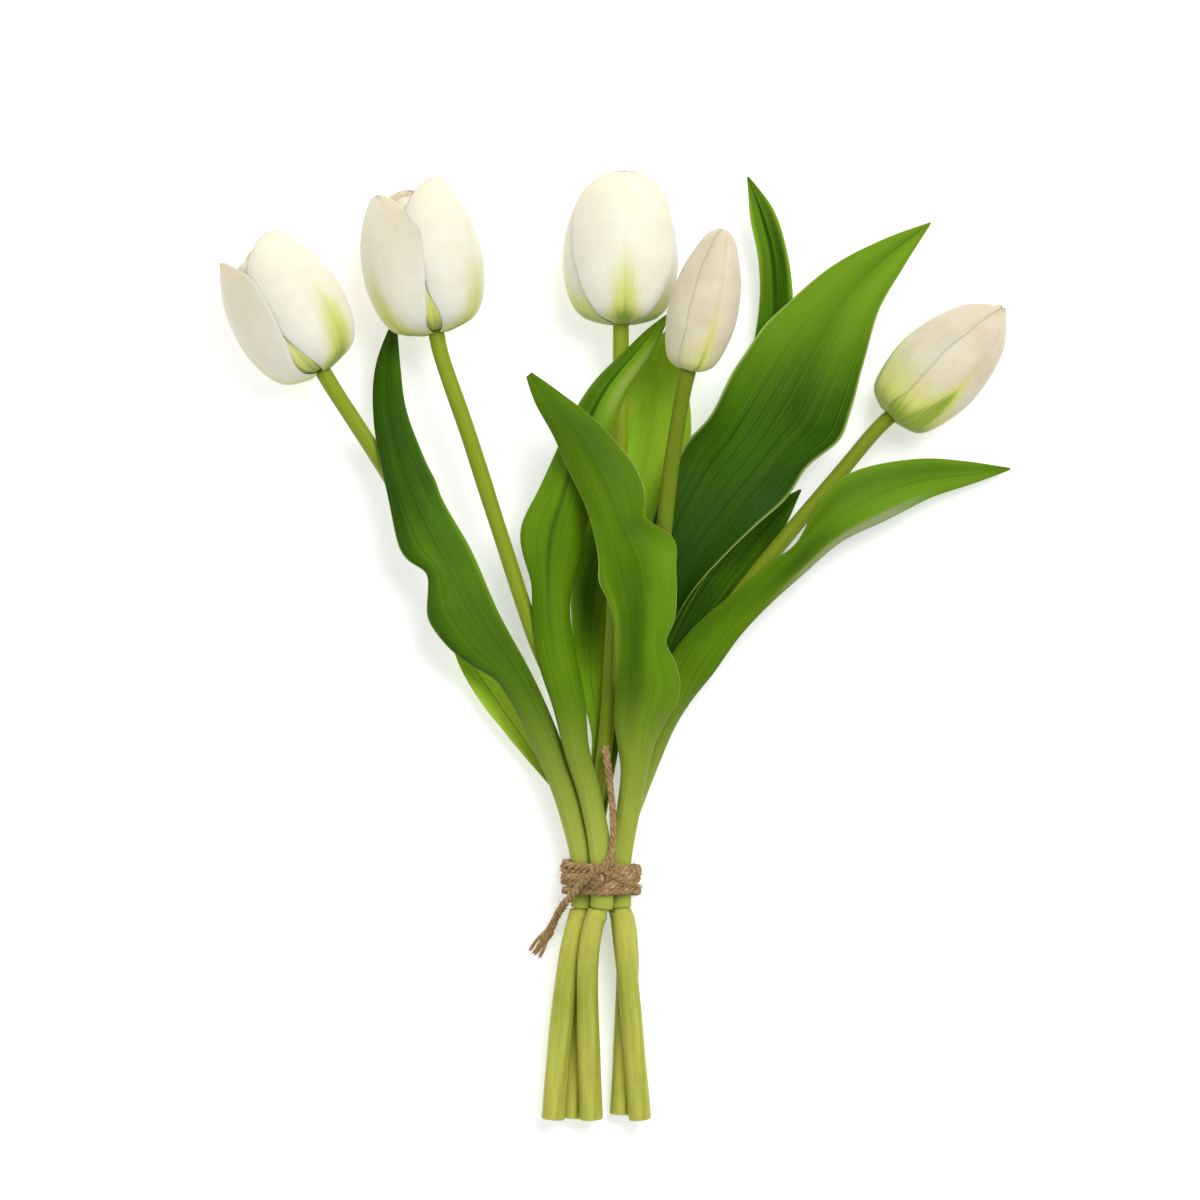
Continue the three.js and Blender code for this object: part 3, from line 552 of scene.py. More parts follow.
# Each tulip's three outer petals, and INNER_PETAL, as (half span in degrees, lean of the tip in degrees,
# how far the left edge and the right edge stand out in mm, length in shares of the bloom, green, extra
# width low down, warmth: beige blush, raised on the petals turned away from the light as painted shade,
# how far up its foot is green). A bloom less open than BUD_OPENING is a bud.
OUTER_PETALS = {
    "left": [
        (63, -6, -0.45, 0.5, 1.0, 1.1, 0.1, 0.7, 0.2), (62, 0, -0.45, 0.45, 0.98, 0.6, 0.12, 1, 0.2),
        # this petal faces away from the light: its warmth of 2.2 is painted shade
        (62, -2, -0.45, 0.5, 0.99, 0.5, 0.12, 2.2, 0.2),
    ],
    "left_centre": [
        (64, -8, -0.45, 0.5, 1.0, 0.75, 0.12, 1, 0.2), (62, 4, -0.45, 0.45, 0.98, 0.6, 0.14, 1, 0.2),
        # this petal faces away from the light: its warmth of 2.2 is painted shade
        (61, -2, -0.45, 0.6, 0.96, 0.9, 0.14, 2.2, 0.2),
    ],
    "centre": [
        (60, 0, 1.0, 1.0, 1.0, 0.95, 0.0, 0.6, 0.3), (70, 0, -0.5, 0.5, 0.93, 1.3, 0.5, 1, 0.56),
        (70, 0, -0.5, -0.5, 0.93, 1.3, 0.5, 1, 0.56),
    ],
    "right_centre": [
        (67, 0, -0.35, 0.4, 1.0, 0.7, 0.34, 0.9, 0.5), (66, 0, -0.35, 0.35, 0.98, 0.5, 0.34, 1, 0.5),
        (66, 0, -0.35, 0.7, 1.0, 0.5, 0.34, 1.1, 0.5),
    ],
    "right": [
        (67, 0, -0.35, 0.5, 1.0, 2.1, 0.34, 0.7, 0.56), (66, 0, -0.4, 0.4, 0.98, 1.3, 0.34, 0.8, 0.5),
        (67, 0, -0.4, 0.8, 1.0, 1.6, 0.34, 0.7, 0.62),
    ],
}

# The side lines of the two buds, and of an open bloom.
BUD_LINES = {
    "right_centre": [
        (0, 0), (0.5, 0.05), (0.78, 0.16), (0.98, 0.34), (0.96, 0.5), (0.78, 0.68), (0.43, 0.84),
        (0.12, 0.945), (-0.35, 1),
    ],
    "right": [
        (0, 0), (0.6, 0.05), (0.88, 0.16), (1.06, 0.34), (1.04, 0.5), (0.84, 0.68), (0.46, 0.85), (-0.3, 1),
    ],
}


def bloom_line(name, opening):
    """The side line of a bloom, as (share of the radius, share of the length) from foot to tip."""
    if name in BUD_LINES:
        return BUD_LINES[name]
    shoulder = (1 + opening) / 2
    return [
        (0, 0), (0.55, 0.05), (0.83, 0.16), (0.98, 0.34), (1, 0.5), (0.93, 0.68), (shoulder, 0.85),
        (opening, 1),
    ]


def is_bud(tulip):
    """Whether a bloom is still shut."""
    return tulip["open"] < BUD_OPENING


def petal_profile(name, layer, reach, v):
    """A petal's side line at shares v of the way up: its distance from the axis, its height, and the
    outward direction square to it. The inner petals lie INNER_STEP further in."""
    tulip = TULIPS[name]
    line = read_rows(bloom_line(name, tulip["open"]), v)
    out = PETAL_FOOT + line[:, 0] * (tulip["radius"] - PETAL_FOOT)
    up = line[:, 1] * tulip["length"] * reach
    outward = unit(np.stack([np.gradient(up), -np.gradient(out)], axis=1))
    inset = INNER_STEP if layer == "inner" else 0.0
    out = np.maximum(out - inset * outward[:, 0] * ease(0, 0.1, v), 0.6)
    return out, up - inset * outward[:, 1], outward


def petal_width(tulip, belly, v):
    """A petal's half angle at shares v of the way up, as shares of its span: it widens from the foot to
    past the middle, with belly added low down, and rounds off in a blunt tip."""
    rounding = BUD_ROUNDING if is_bud(tulip) else tulip.get("rounding", ROUNDING)
    tip = np.sqrt(np.clip(1 - (np.clip(v - rounding, 0, 1) / (1 - rounding)) ** 2, 1e-4, 1))
    width = read_rows(PETAL_WIDTHS, v)[:, 0] + belly * (1 - ease(0.25, 0.7, v))
    return width * (0.86 * tip + 0.14 * tip**3)


def petal_relief(U, V, left_edge, right_edge, phases):
    """How far a petal stands out from its side line, in mm: its edges, lifted or tucked in, the groove
    of the midrib between two ridges, slow ripples over the sheet, and a pinched tip."""
    a, b, c, d = phases
    edge = np.where(U < 0, left_edge, right_edge) * np.abs(U) ** 1.6 * ease(0.02, 0.3, V)
    groove = -0.5 * np.exp(-((U / 0.06) ** 2)) * ease(0.0, 0.2, V) * (1 - ease(0.85, 1.0, V))
    ridges = 0.22 * np.exp(-(((np.abs(U) - 0.2) / 0.1) ** 2)) * (1 - ease(0.4, 0.95, V))
    ripple = 0.2 * np.sin(2.7 * U + 4 * V + a) * ease(0.1, 0.5, V)
    ripple = ripple + 0.12 * np.sin(6 * U - 3 * V + b) * ease(0.4, 1, V)
    pinch = (0.35 * np.sin(8 * U + c) + 0.2 * np.sin(15 * U + d)) * ease(0.86, 1, V) * np.abs(U)
    return edge + groove + ridges + ripple + pinch


def petal_paint(U, V, bud, layer, fade, tint, climb):
    """The masks of a petal: green up the midrib and over the foot, warm towards the tip and the margins
    as beige blush and as painted shade, and the edge that carries a painted highlight."""
    spread = 0.07 + 0.1 * (1 - V) if bud else 0.13 + 0.5 * (1 - V) ** 2
    stripe = np.exp(-((U / spread) ** 2)) * (1 - ease(0.08, 0.76, V))
    foot = 1 - ease(0.0, climb, V)
    deep = (1 - ease(0.05, 0.62, V)) * (0.62 if layer == "inner" else 0.0)
    green = np.clip(fade * (0.85 * stripe + 0.6 * foot) + deep, 0, 1)
    # warm: beige blush, raised by tint into painted shade on the petals turned away from the light
    warm = tint * ease(0.15, 0.9, V) * (0.35 + 0.65 * np.abs(U))
    return dict(green=green, warm=np.clip(warm, 0, 3), edge=ease(0.9, 0.99, np.abs(U)))


def petal_grid(name, layer, style, seed, thickness):
    """One petal about the axis of its bloom. The point at U across and V up is (r sin t, h, r cos t):
    (r, h) is the side line at V with the relief added square to it, and t is U times the half angle
    at V, plus the lean of the tip times V squared."""
    rows, columns = PETAL_GRID
    tulip = TULIPS[name]
    span, sway, left_edge, right_edge, reach, fade, belly, tint, climb = style
    s = np.linspace(0, 1, rows)
    v = 0.6 * s + 0.4 * np.sin(s * math.pi / 2) ** 1.6
    out, up, outward = petal_profile(name, layer, reach, v)
    U, V = np.meshgrid(wide_spaced(columns, 0.96), v)
    phases = np.random.default_rng(seed).uniform(0, 2 * math.pi, 4)
    edge_wave = 1 + 0.012 * np.sin(13 * V + phases[0]) + 0.008 * np.sin(29 * V + phases[1])
    half_angle = math.radians(span) * petal_width(tulip, belly, v)[:, None] * edge_wave
    angle = U * half_angle + math.radians(sway) * V**2
    lift = petal_relief(U, V, left_edge, right_edge, phases)
    radius = np.maximum(out[:, None] + lift * outward[:, :1], 0.4)
    height = up[:, None] + lift * outward[:, 1:]
    points = np.stack([radius * np.sin(angle), height, radius * np.cos(angle)], axis=2)
    normal = unit(np.cross(np.gradient(points, axis=1), np.gradient(points, axis=0)))
    thin = np.sqrt(np.clip(1 - np.abs(U) ** 8, 0, 1)) * (1 - 0.45 * U**2)
    ends = np.sqrt(np.clip(ease(0, 0.03, V) * ease(0, 0.02, 1 - V), 0, 1))
    masks = petal_paint(U, V, is_bud(tulip), layer, fade, tint, climb)
    return points, normal, thickness * thin * ends, masks, (U + 1) / 2, V


def in_bloom(tulip, spin, points):
    """Turns points by spin round the bloom's axis, then leans and places the bloom on its stem."""
    foot, axis = bloom_axis(tulip)
    side = unit(np.cross(axis, UP))
    front = np.cross(side, axis)
    c, s = math.cos(spin), math.sin(spin)
    x = points[..., 0] * c + points[..., 2] * s
    z = points[..., 2] * c - points[..., 0] * s
    return x[..., None] * side + points[..., 1:2] * axis + z[..., None] * front, foot


class TULIPS_OT_petals(Operator):
    """Makes the six petals of every bloom, three outer and three inner"""

    bl_idname = "tulips.petals"
    bl_label = "Petals"

    def execute(self, context):
        sizes, colours = context.scene.tulip_sizes, context.scene.tulip_colours
        # the last number of each is the strength of the painted highlight along the petal edges
        closed = petal_material("petal_bud", colours, colours.bud, colours.bud_warm, 0.35, 0.0)
        opened = petal_material("petal_open", colours, colours.petal, colours.petal_warm, 0.3, 0.25)
        for number, (name, tulip) in enumerate(TULIPS.items()):
            material = closed if is_bud(tulip) else opened
            for i, style in enumerate(OUTER_PETALS[name]):
                for layer, offset, chosen in (("outer", 0, style), ("inner", 60, INNER_PETAL)):
                    seed = 100 * number + 10 * i + (layer == "inner")
                    points, normal, body, masks, across, along = petal_grid(
                        name, layer, chosen, seed, sizes.petal_thickness / MM
                    )
                    spin = math.radians(tulip["spin"] + 120 * i + offset)
                    placed, foot = in_bloom(tulip, spin, points)
                    facing, _ = in_bloom(tulip, spin, normal)
                    skin = Skin()
                    add_shell(skin, placed + foot, facing, body, across=across, along=along, **masks)
                    piece = skin.make(f"tulip_{name}_{layer}_petal_{i + 1}", material)
                    finish_piece(piece, "petal", f"petal_{name}_{layer}_{i + 1}")
        return {"FINISHED"}


# ------------------------------------------------------------------ stems


# The shoulder where a bare stem comes out of its sheath lies this far below the sheaths.
SHOULDER_DROP = 0.9


def stem_stations(start, shoulder, top):
    """Where a stem has its rings, along the bunch: close together at its two ends and round the
    shoulder, and even between them."""
    return np.concatenate([
        start + np.array([0, 0.25, 0.6, 1.2]), np.linspace(start + 3, shoulder - 2, 90),
        np.linspace(shoulder - 1.6, shoulder + 0.6, 22), np.linspace(shoulder + 1.5, top - 2, 260),
        top - np.array([1.5, 1.1, 0.75, 0.45, 0.2, 0]),
    ])


def stem_radii(y, start, shoulder, number):
    """The radius of a stem at each distance y: thick up to the shoulder, where a low lip steps down to
    the upper stem, a little uneven, with an eased cut edge and a rounded top."""
    below = np.clip((shoulder - y) / (shoulder - start), 0, 1)
    thick = CUT_END_RADIUS * (0.93 + 0.07 * below)
    step = np.sqrt(ease(shoulder - 1.5, shoulder + 0.3, y))
    radii = thick * (1 - step) + STEM_RADIUS * step
    lip = 0.22 * np.exp(-(((y - shoulder + 1.6) / 0.9) ** 2))
    uneven = 0.02 * np.sin(y / 13 + number) + 0.012 * np.sin(y / 5.1 + 2 * number)
    radii = radii * (1 + uneven) + lip
    radii[-6:] *= np.array([1, 0.97, 0.9, 0.78, 0.6, 0.35])
    radii[:3] = radii[3] * np.array([0.93, 0.985, 1.0])
    return radii


class TULIPS_OT_stems(Operator):
    """Makes the five stems, thick at the cut end, with a shoulder under the tie"""

    bl_idname = "tulips.stems"
    bl_label = "Stems"

    def execute(self, context):
        material = stem_material("stem_green", context.scene.tulip_colours)
        shoulder = SHEATH_START - SHOULDER_DROP
        for number, (name, tulip) in enumerate(TULIPS.items()):
            fine = stem_line(tulip, 3000)
            start, top = fine[0, 1], fine[-1, 1]
            line = line_at(fine, stem_stations(start, shoulder, top))
            y = line[:, 1]
            radii = stem_radii(y, start, shoulder, number)
            low = 1 - ease(-20, 70, y)
            cut = 1 - ease(0.1, 0.7, y - start)
            shade = tulip.get("shade", 0.1) * ease(40, 90, y)

            def relief(angle, distance, phase=number):
                ovals = 0.12 * np.cos(2 * angle + distance / 60 + phase)
                return ovals + 0.05 * np.cos(5 * angle + distance / 35)

            skin = Skin()
            add_tube(skin, line, radii, 32, relief=relief, low=low, cut=cut, shade=shade)
            finish_piece(skin.make(f"tulip_{name}_stem", material), "stem", f"stem_{name}")
        return {"FINISHED"}


# ------------------------------------------------------------------ leaves

CLASP_CUP = 118

# Each leaf: the tulip that it grows on, and rows of (x, y, z, left, right, cup, roll) along its middle
# line: its half widths, how far it cups and how far it rolls, in degrees. It clasps its stem from above
# for clasp=1 or from below for clasp=-1, and opening has the rows (y, share of the sheath's radius, cup,
# roll) where its sheath opens. What some leaves have as well:
#   glow: painted light, light green that comes in from one y to another, up to a strength
#   shaded: painted shade, dark green that fades out from one y to another
#   bumps: (side, y, length, size) of a swelling or a dent of one margin
#   painted_light_and_shade: (place across, y, width across, length, strength) of a patch of painted light,
#       or of painted shade where the strength is below 0
#   valley: (place across, first y, last y, depth) of a hollow, with a little painted shade in it
#   fold: rows of (place across, depth) of a crest, from end to end
#   turned_margin: the stretch, as shares of the length, whose right margin shows its underside
LEAVES = {
    "leaf_left_long": dict(
        tulip="left", clasp=1, tone="deep", glow=(190, 80, 0.25),
        opening=[(35, 1.1, 98, 0), (52, 1.4, 74, 0)],
        bumps=[(-1, 127, 5, -2.2), (-1, 112, 6, 2.0), (-1, 84, 5, -1.2), (1, 156, 5, 0.8)],
        painted_light_and_shade=[
            (-0.6, 200, 0.5, 34, -0.5), (0.1, 120, 0.5, 22, 0.15), (-0.9, 150, 0.2, 60, -0.4),
            (0.92, 130, 0.1, 45, 0.5),
        ],
        rows=[
            (-33, 78, 26.5, 8, 7, 50, 0), (-50, 103, 30.3, 16, 10, 38, 0),
            (-60.5, 124, 31.5, 11.6, 10.5, 32, 0), (-68.5, 139, 32, 14, 11.6, 30, 0),
            (-77.4, 159, 31, 11.2, 11, 34, 0), (-84, 183, 27.5, 8, 8, 38, 0),
            (-86, 204, 19.5, 5.6, 6, 40, 0), (-83, 226, 9, 0.4, 0.4, 30, 0),
        ],
    ),
    "leaf_left_low": dict(
        tulip="left", clasp=0, tone="young", glow=(10, 50, 1.0),
        rows=[
            (-17, 36, 9.5, 2.5, 3, -40, 0), (-26, 48, 8.5, 3.8, 5.5, -38, 0),
            (-35, 61, 8.5, 5.2, 7, -32, 0), (-44, 74, 9, 6, 7, -28, 0), (-53, 87, 10, 5, 6, -25, 0),
            (-61, 97, 11.5, 0.4, 0.4, -20, 0),
        ],
    ),
    "leaf_centre_folded": dict(
        tulip="left_centre", clasp=1, tone="fresh", glow=(130, 200, 0.4),
        opening=[(35, 1.1, 98, 0), (52, 1.4, 74, 0)],
        fold=[
            (-0.8, 0), (-0.8, 0), (-0.8, 0), (-0.8, 0.05), (-0.7, 0.15), (-0.5, 0.25), (-0.3, 0.3),
            (-0.1, 0.3), (0.05, 0.3), (0.1, 0.25),
        ],
        bumps=[(-1, 136, 8, 1.2), (-1, 118, 6, -1.0)],
        painted_light_and_shade=[
            (0.5, 200, 0.42, 27, 1.32), (-0.45, 198, 0.35, 24, -0.3), (-0.12, 190, 0.07, 30, -0.9),
            (-0.14, 135, 0.06, 34, -0.6), (-0.7, 140, 0.3, 18, 0.35), (0.2, 110, 0.3, 30, 0.25),
            (0.7, 165, 0.4, 16, -0.6),
        ],
        rows=[
            (-12.5, 70, 30, 8.5, 8.5, 50, 0), (-17.5, 91, 32, 10, 10, 40, 0),
            (-20, 112, 33.5, 10.5, 11, 36, 0), (-18.5, 134, 34.5, 15.5, 14, 34, 0),
            (-13.5, 153, 34, 14, 13.5, 34, 0), (-7, 175, 32.5, 10, 11.5, 36, 0),
            (2.5, 195, 31.5, 9, 9, 38, 0), (16, 212, 32, 6, 6, 38, 0),
            (26.5, 225.5, 32, 0.4, 0.4, 30, 0),
        ],
    ),
    "leaf_front": dict(
        tulip="right_centre", clasp=1, tone="fresh", glow=(120, 110, 0.25), valley=(-0.3, 46, 134, 1.4),
        opening=[(32, 1.1, 98, 0), (45, 1.4, 76, 0)],
        bumps=[
            (1, 129, 5, 3.2), (1, 141, 5, -2.4), (1, 95, 6, -2.6), (1, 60, 6, 1.6), (-1, 120, 7, 1.2),
        ],
        painted_light_and_shade=[
            (0.75, 127, 0.4, 9, 0.5), (-0.42, 94, 0.5, 34, -0.42), (0, 176, 1.4, 26, -0.4),
            (-0.86, 104, 0.08, 20, 0.6), (0.5, 140, 0.5, 7, -0.4), (0.3, 100, 0.2, 24, 0.2),
        ],
        rows=[
            (14, 62, 31, 11, 11, 52, 0), (17, 76, 35.5, 14.5, 15, 40, 0),
            (16.5, 92, 39.5, 12.5, 13, 36, 0), (17, 108, 43, 14, 14, 34, 0),
            (14.5, 126, 45.5, 15, 16, 34, 0), (8, 141, 46.5, 12.5, 13, 34, 0),
            (1.5, 158, 46, 12.5, 13, 36, 0), (-8, 176, 44.5, 12, 9.5, 38, 0),
            (-20.4, 190.6, 44, 7, 5.5, 40, 0), (-29, 201, 44.5, 1.5, 1.5, 30, 0),
        ],
    ),
    "leaf_back_wide": dict(
        tulip="centre", clasp=-1, tone="young", glow=(120, 150, 0.8),
        opening=[(36, 1.1, 98, 0), (56, 1.4, 74, 0)],
        painted_light_and_shade=[(-0.6, 115, 0.4, 30, -0.8)],
        rows=[
            (0.5, 80, 6.8, 12, 9, -50, 0), (2, 100, 6.8, 15.5, 11, -38, 0),
            (6, 122, 6.5, 19, 14, -30, 0), (11, 143, 6.2, 17, 17, -27, 0), (16, 163, 6, 18, 18, -25, 0),
            (19.5, 183, 6, 16, 17, -25, 0), (22, 202, 6.5, 11.5, 12, -25, 0),
            (26, 220, 8, 0.4, 0.4, -20, 0),
        ],
    ),
    "leaf_right_large": dict(
        tulip="right_centre", clasp=0, tone="deep", glow=(176, 250, 0.95), shaded=(96, 236),
        bumps=[(1, 190, 6, 1.6), (1, 176, 7, -2.6), (-1, 160, 6, 1.2), (-1, 210, 8, 0.9)],
        rows=[
            (17.5, 74, 19.5, 3.5, 3.5, -60, 0), (19.5, 95, 21.5, 6.5, 6.5, -50, 0),
            (25, 114, 22.5, 10, 10, -38, 0), (34, 134, 22, 17, 15.5, -30, 0),
            (47, 154, 20.5, 22, 20.5, -27, 0), (62, 173, 19, 24, 24, -26, 0),
            (75, 193, 18.5, 25.5, 25.5, -26, 0), (86, 213, 19.5, 21.5, 21.5, -28, 0),
            (99, 234, 22, 14.5, 14.5, -30, 0), (114.5, 249.4, 26, 7.4, 8.6, -30, 0),
            (131, 262, 30, 0.4, 0.4, -20, 0),
        ],
    ),
    "leaf_right_inner": dict(
        tulip="right", clasp=0, tone="deep", shaded=(60, 130),
        rows=[
            (25, 78, 5, 3, 3, -45, 0), (33, 96, 4.2, 7, 7, -34, 0), (43, 112, 4.2, 9.5, 9, -28, 0),
            (54, 127, 4.6, 10, 10, -26, 0), (66, 141, 5.4, 7.5, 7.5, -24, 0),
            (80, 156, 7, 0.4, 0.4, -20, 0),
        ],
    ),
    "leaf_back_narrow": dict(
        tulip="right", clasp=0, tone="deep", glow=(200, 280, 0.7),
        fold=[(0.2, 0), (0.2, 0), (0.2, 0.1), (0.3, 0.3), (0.35, 0.35), (0.35, 0.3)],
        painted_light_and_shade=[
            (-0.1, 255, 0.12, 40, -0.8), (0.93, 245, 0.14, 45, 0.8), (-0.9, 262, 0.16, 25, 0.6),
            (0.5, 240, 0.3, 35, -0.4),
        ],
        rows=[
            (19, 80, 12, 3, 3, -50, 0), (27, 104, 11.8, 5, 5, -42, 0),
            (38, 127, 11.5, 6.5, 6.5, -36, 0), (50, 150, 11, 7.5, 7.5, -34, 0),
            (60, 175, 11, 8, 8, -34, 0), (67, 200, 11.5, 8, 8, -36, 0), (70, 225, 13, 6.5, 6.5, -40, 0),
            (69.2, 248, 15.5, 5.6, 5.6, -46, 0), (64.6, 266, 18, 4.6, 4.6, -46, 0),
            (58.4, 281, 20, 0.4, 0.4, -30, 0),
        ],
    ),
    "leaf_right_trailing": dict(
        tulip="right", clasp=1, roll=90, tone="fresh", glow=(100, 160, 0.6), turned_margin=(0.62, 0.9),
        opening=[(34, 1.1, 100, 80), (50, 1.35, 80, 60)],
        bumps=[(-1, 133, 7, -3.0), (-1, 149, 5, 1.4)],
        painted_light_and_shade=[(0.3, 128, 0.3, 12, -0.6), (-0.5, 150, 0.4, 30, -0.35), (-0.6, 105, 0.4, 14, -0.3)],
        rows=[
            (29, 68, 17.5, 8.5, 8.5, 55, 32), (36, 84, 19.5, 9.5, 9.5, 42, 12),
            (47, 99, 20.5, 8.5, 8.5, 36, 0), (61, 113, 22, 7, 8, 34, 0), (75, 127, 23.5, 6, 8.4, 34, 0),
            (89, 141, 24.5, 9, 9.8, 34, 0), (106, 152.5, 22, 11, 11.5, 30, 0),
            (127, 160, 16.5, 8.5, 8.5, 28, 0), (147, 162.5, 10, 5, 5, 26, 0),
            (164.4, 164.4, 5, 0.4, 0.4, 20, 0),
        ],
    ),
}


def rolled(across, face, roll):
    """A section's two directions, turned about the line by roll in degrees."""
    turn = np.radians(roll)[..., None]
    return across * np.cos(turn) - face * np.sin(turn), face * np.cos(turn) + across * np.sin(turn)


def sheath_rows(leaf):
    """The rows that keep a clasping leaf round its stem, closed through the tie and then opening."""
    if leaf["clasp"] == 0:
        return []
    line = stem_line(TULIPS[leaf["tulip"]])
    _, across, face = sections(line)
    through = (SHEATH_START, -TIE_HALF_WIDTH, 0, TIE_HALF_WIDTH, SHEATH_END)
    closed = [(y, 1, CLASP_CUP, leaf.get("roll", 0)) for y in through]
    rows = []
    for y, share, cup, roll in closed + leaf["opening"]:
        place = line_at(line, y)[0]
        i = np.argmin(np.abs(line[:, 1] - y))
        _, outward = rolled(across[i], face[i], np.array(float(roll)))
        radius = share * SHEATH_RADIUS
        half = radius * math.radians(cup)
        rows.append((*(place + leaf["clasp"] * radius * outward), half, half, leaf["clasp"] * cup, roll))
    return rows


LEAF_GRID = (190, 57)

# A valley eases in and out over VALLEY_END, and its width is a share of the half width.
VALLEY_END = 16
VALLEY_WIDTH = 0.26

# What a leaf without a painted shaded foot, painted light (a glow) or a turned margin has instead: ranges
# that it never reaches.
NOWHERE_LOW = (-2, -1)
NO_GLOW = (900, 901, 0)
PAST_THE_TIP = (2, 3)

# A fold stands this share of the half width over the blade, and this rounds off its crest.
FOLD_CREST = 0.16
FOLD_SOFTNESS = 0.004


def leaf_halves(leaf, U, V, line, left, right, loose, phases):
    """A leaf's half width at each point, and the wave of its margins: two sines along each margin, which
    fade where the leaf is held, and the leaf's own bumps."""
    a, b, c, d = phases
    left_wave = np.sin(17 * V + a) + 0.5 * np.sin(41 * V + c)
    right_wave = np.sin(15 * V + b) + 0.5 * np.sin(37 * V + d)
    wave = np.where(U < 0, left_wave, right_wave)
    half = np.where(U < 0, left[:, None], right[:, None]) * (1 + 0.03 * wave * loose)
    for side, place, length, size in leaf.get("bumps", []):
        swell = size * np.exp(-(((line[:, 1:2] - place) / length) ** 2))
        half = half + np.where(U * side > 0, swell, 0)
    return half, wave


def leaf_hollow(leaf, U, y):
    """How much of a leaf's valley is at each point, from 0 to 1."""
    if "valley" not in leaf:
        return np.zeros_like(U)
    centre, start, end, _ = leaf["valley"]
    within = ease(start, start + VALLEY_END, y) * (1 - ease(end - VALLEY_END, end, y))
    return within * np.exp(-(((U - centre) / VALLEY_WIDTH) ** 2))


def leaf_paint(leaf, U, V, y, free, hollow, phase):
    """The masks of a leaf: pale towards the sheath, the rim for a painted highlight, the midrib, painted
    shade and painted light, and where the underside shows."""
    pale = 1 - ease(0, 86, y) if leaf["clasp"] else 0.5 * (1 - ease(30, 90, y))
    # patches of painted light, and of painted shade where the strength is below 0
    tint = np.zeros_like(U)
    for place, at, spread, length, strength in leaf.get("painted_light_and_shade", []):
        tint = tint + strength * np.exp(-(((U - place) / spread) ** 2) - ((y - at) / length) ** 2)
    low, high = leaf.get("shaded", NOWHERE_LOW)
    # painted shade: the dark foot, the valley's hollow and the darker patches
    shade = np.clip(0.95 * (1 - ease(low, high, y)) + 0.14 * hollow - tint, 0, 1)
    start, end, most = leaf.get("glow", NO_GLOW)
    # painted light, with the lighter patches added
    glow = np.clip(most * ease(start, end, y) * (0.8 + 0.2 * np.sin(5 * U + phase)) + tint, 0, 2)
    first, last = leaf.get("turned_margin", PAST_THE_TIP)
    under = ease(0.6, 0.78, U) * ease(first, first + 0.08, V) * (1 - ease(last - 0.08, last, V))
    # painted highlight along the free margins
    rim = ease(0.94, 0.99, np.abs(U)) * free
    rib = np.exp(-((U / 0.03) ** 2)) * free
    return dict(pale=pale, rim=rim, rib=rib, shade=shade, glow=glow, under=under)


def leaf_grid(leaf, seed, thickness):
    """A leaf: a line with an arc across it at each point. The arc is as long as the leaf is wide there
    and bends by the cup angle b, so the point at U across is r sin(U b) to the side and r (1 - cos(U b))
    down, with r the half width over b. The margins ripple, and the midrib is a shallow groove."""
    rows, columns = LEAF_GRID
    v = np.linspace(0, 1, rows)
    table = sheath_rows(leaf) + leaf["rows"]
    values = read_rows(table, v)
    line = values[:, :3]
    left, right, cup, roll = values[:, 3:].T
    _, across, face = sections(line)
    wide, face = rolled(across, face, roll)
    U, V = np.meshgrid(wide_spaced(columns, 0.94), v)
    held = (len(table) - len(leaf["rows"])) / len(table) * 0.9
    free = ease(0, 0.28 if leaf["clasp"] else 0.3, V - held)
    tip = 1 - ease(0.9, 1.0, V)
    phases = np.random.default_rng(seed).uniform(0, 2 * math.pi, 4)
    half, wave = leaf_halves(leaf, U, V, line, left, right, free * tip, phases)
    bend = np.radians(cup)[:, None]
    radius, angle = half / bend, U * bend
    points = line[:, None] + wide[:, None] * (radius * np.sin(angle))[..., None]
    points = points - face[:, None] * (radius * (1 - np.cos(angle)))[..., None]
    normal = face[:, None] * np.cos(angle)[..., None] + wide[:, None] * np.sin(angle)[..., None]

    groove = 0.45 * np.exp(-((U / 0.05) ** 2)) * tip * free * np.sign(bend)
    ripple = 0.09 * half * wave * np.abs(U) ** 2.2 * free * tip
    buckle = 0.02 * half * np.sin(11 * V + 4 * U + phases[2]) * free
    hollow = leaf_hollow(leaf, U, points[..., 1])
    relief = groove + ripple + buckle
    if "valley" in leaf:
        relief = relief - leaf["valley"][3] * hollow
    if "fold" in leaf:
        place, depth = read_rows(leaf["fold"], v).T[:, :, None]
        relief = relief + depth * half * (FOLD_CREST - np.sqrt((U - place) ** 2 + FOLD_SOFTNESS))
    points = points + normal * relief[..., None]
    normal = unit(np.cross(np.gradient(points, axis=1), np.gradient(points, axis=0)))
    thin = np.sqrt(np.clip(1 - np.abs(U) ** 12, 0, 1)) * (1 - 0.3 * U**2)
    ends = np.sqrt(ease(0, 0.008, V) * ease(0, 0.012, 1 - V))
    masks = leaf_paint(leaf, U, V, points[..., 1], free, hollow, phases[0])
    return points, normal, thickness * thin * ends, masks, (U + 1) / 2, V


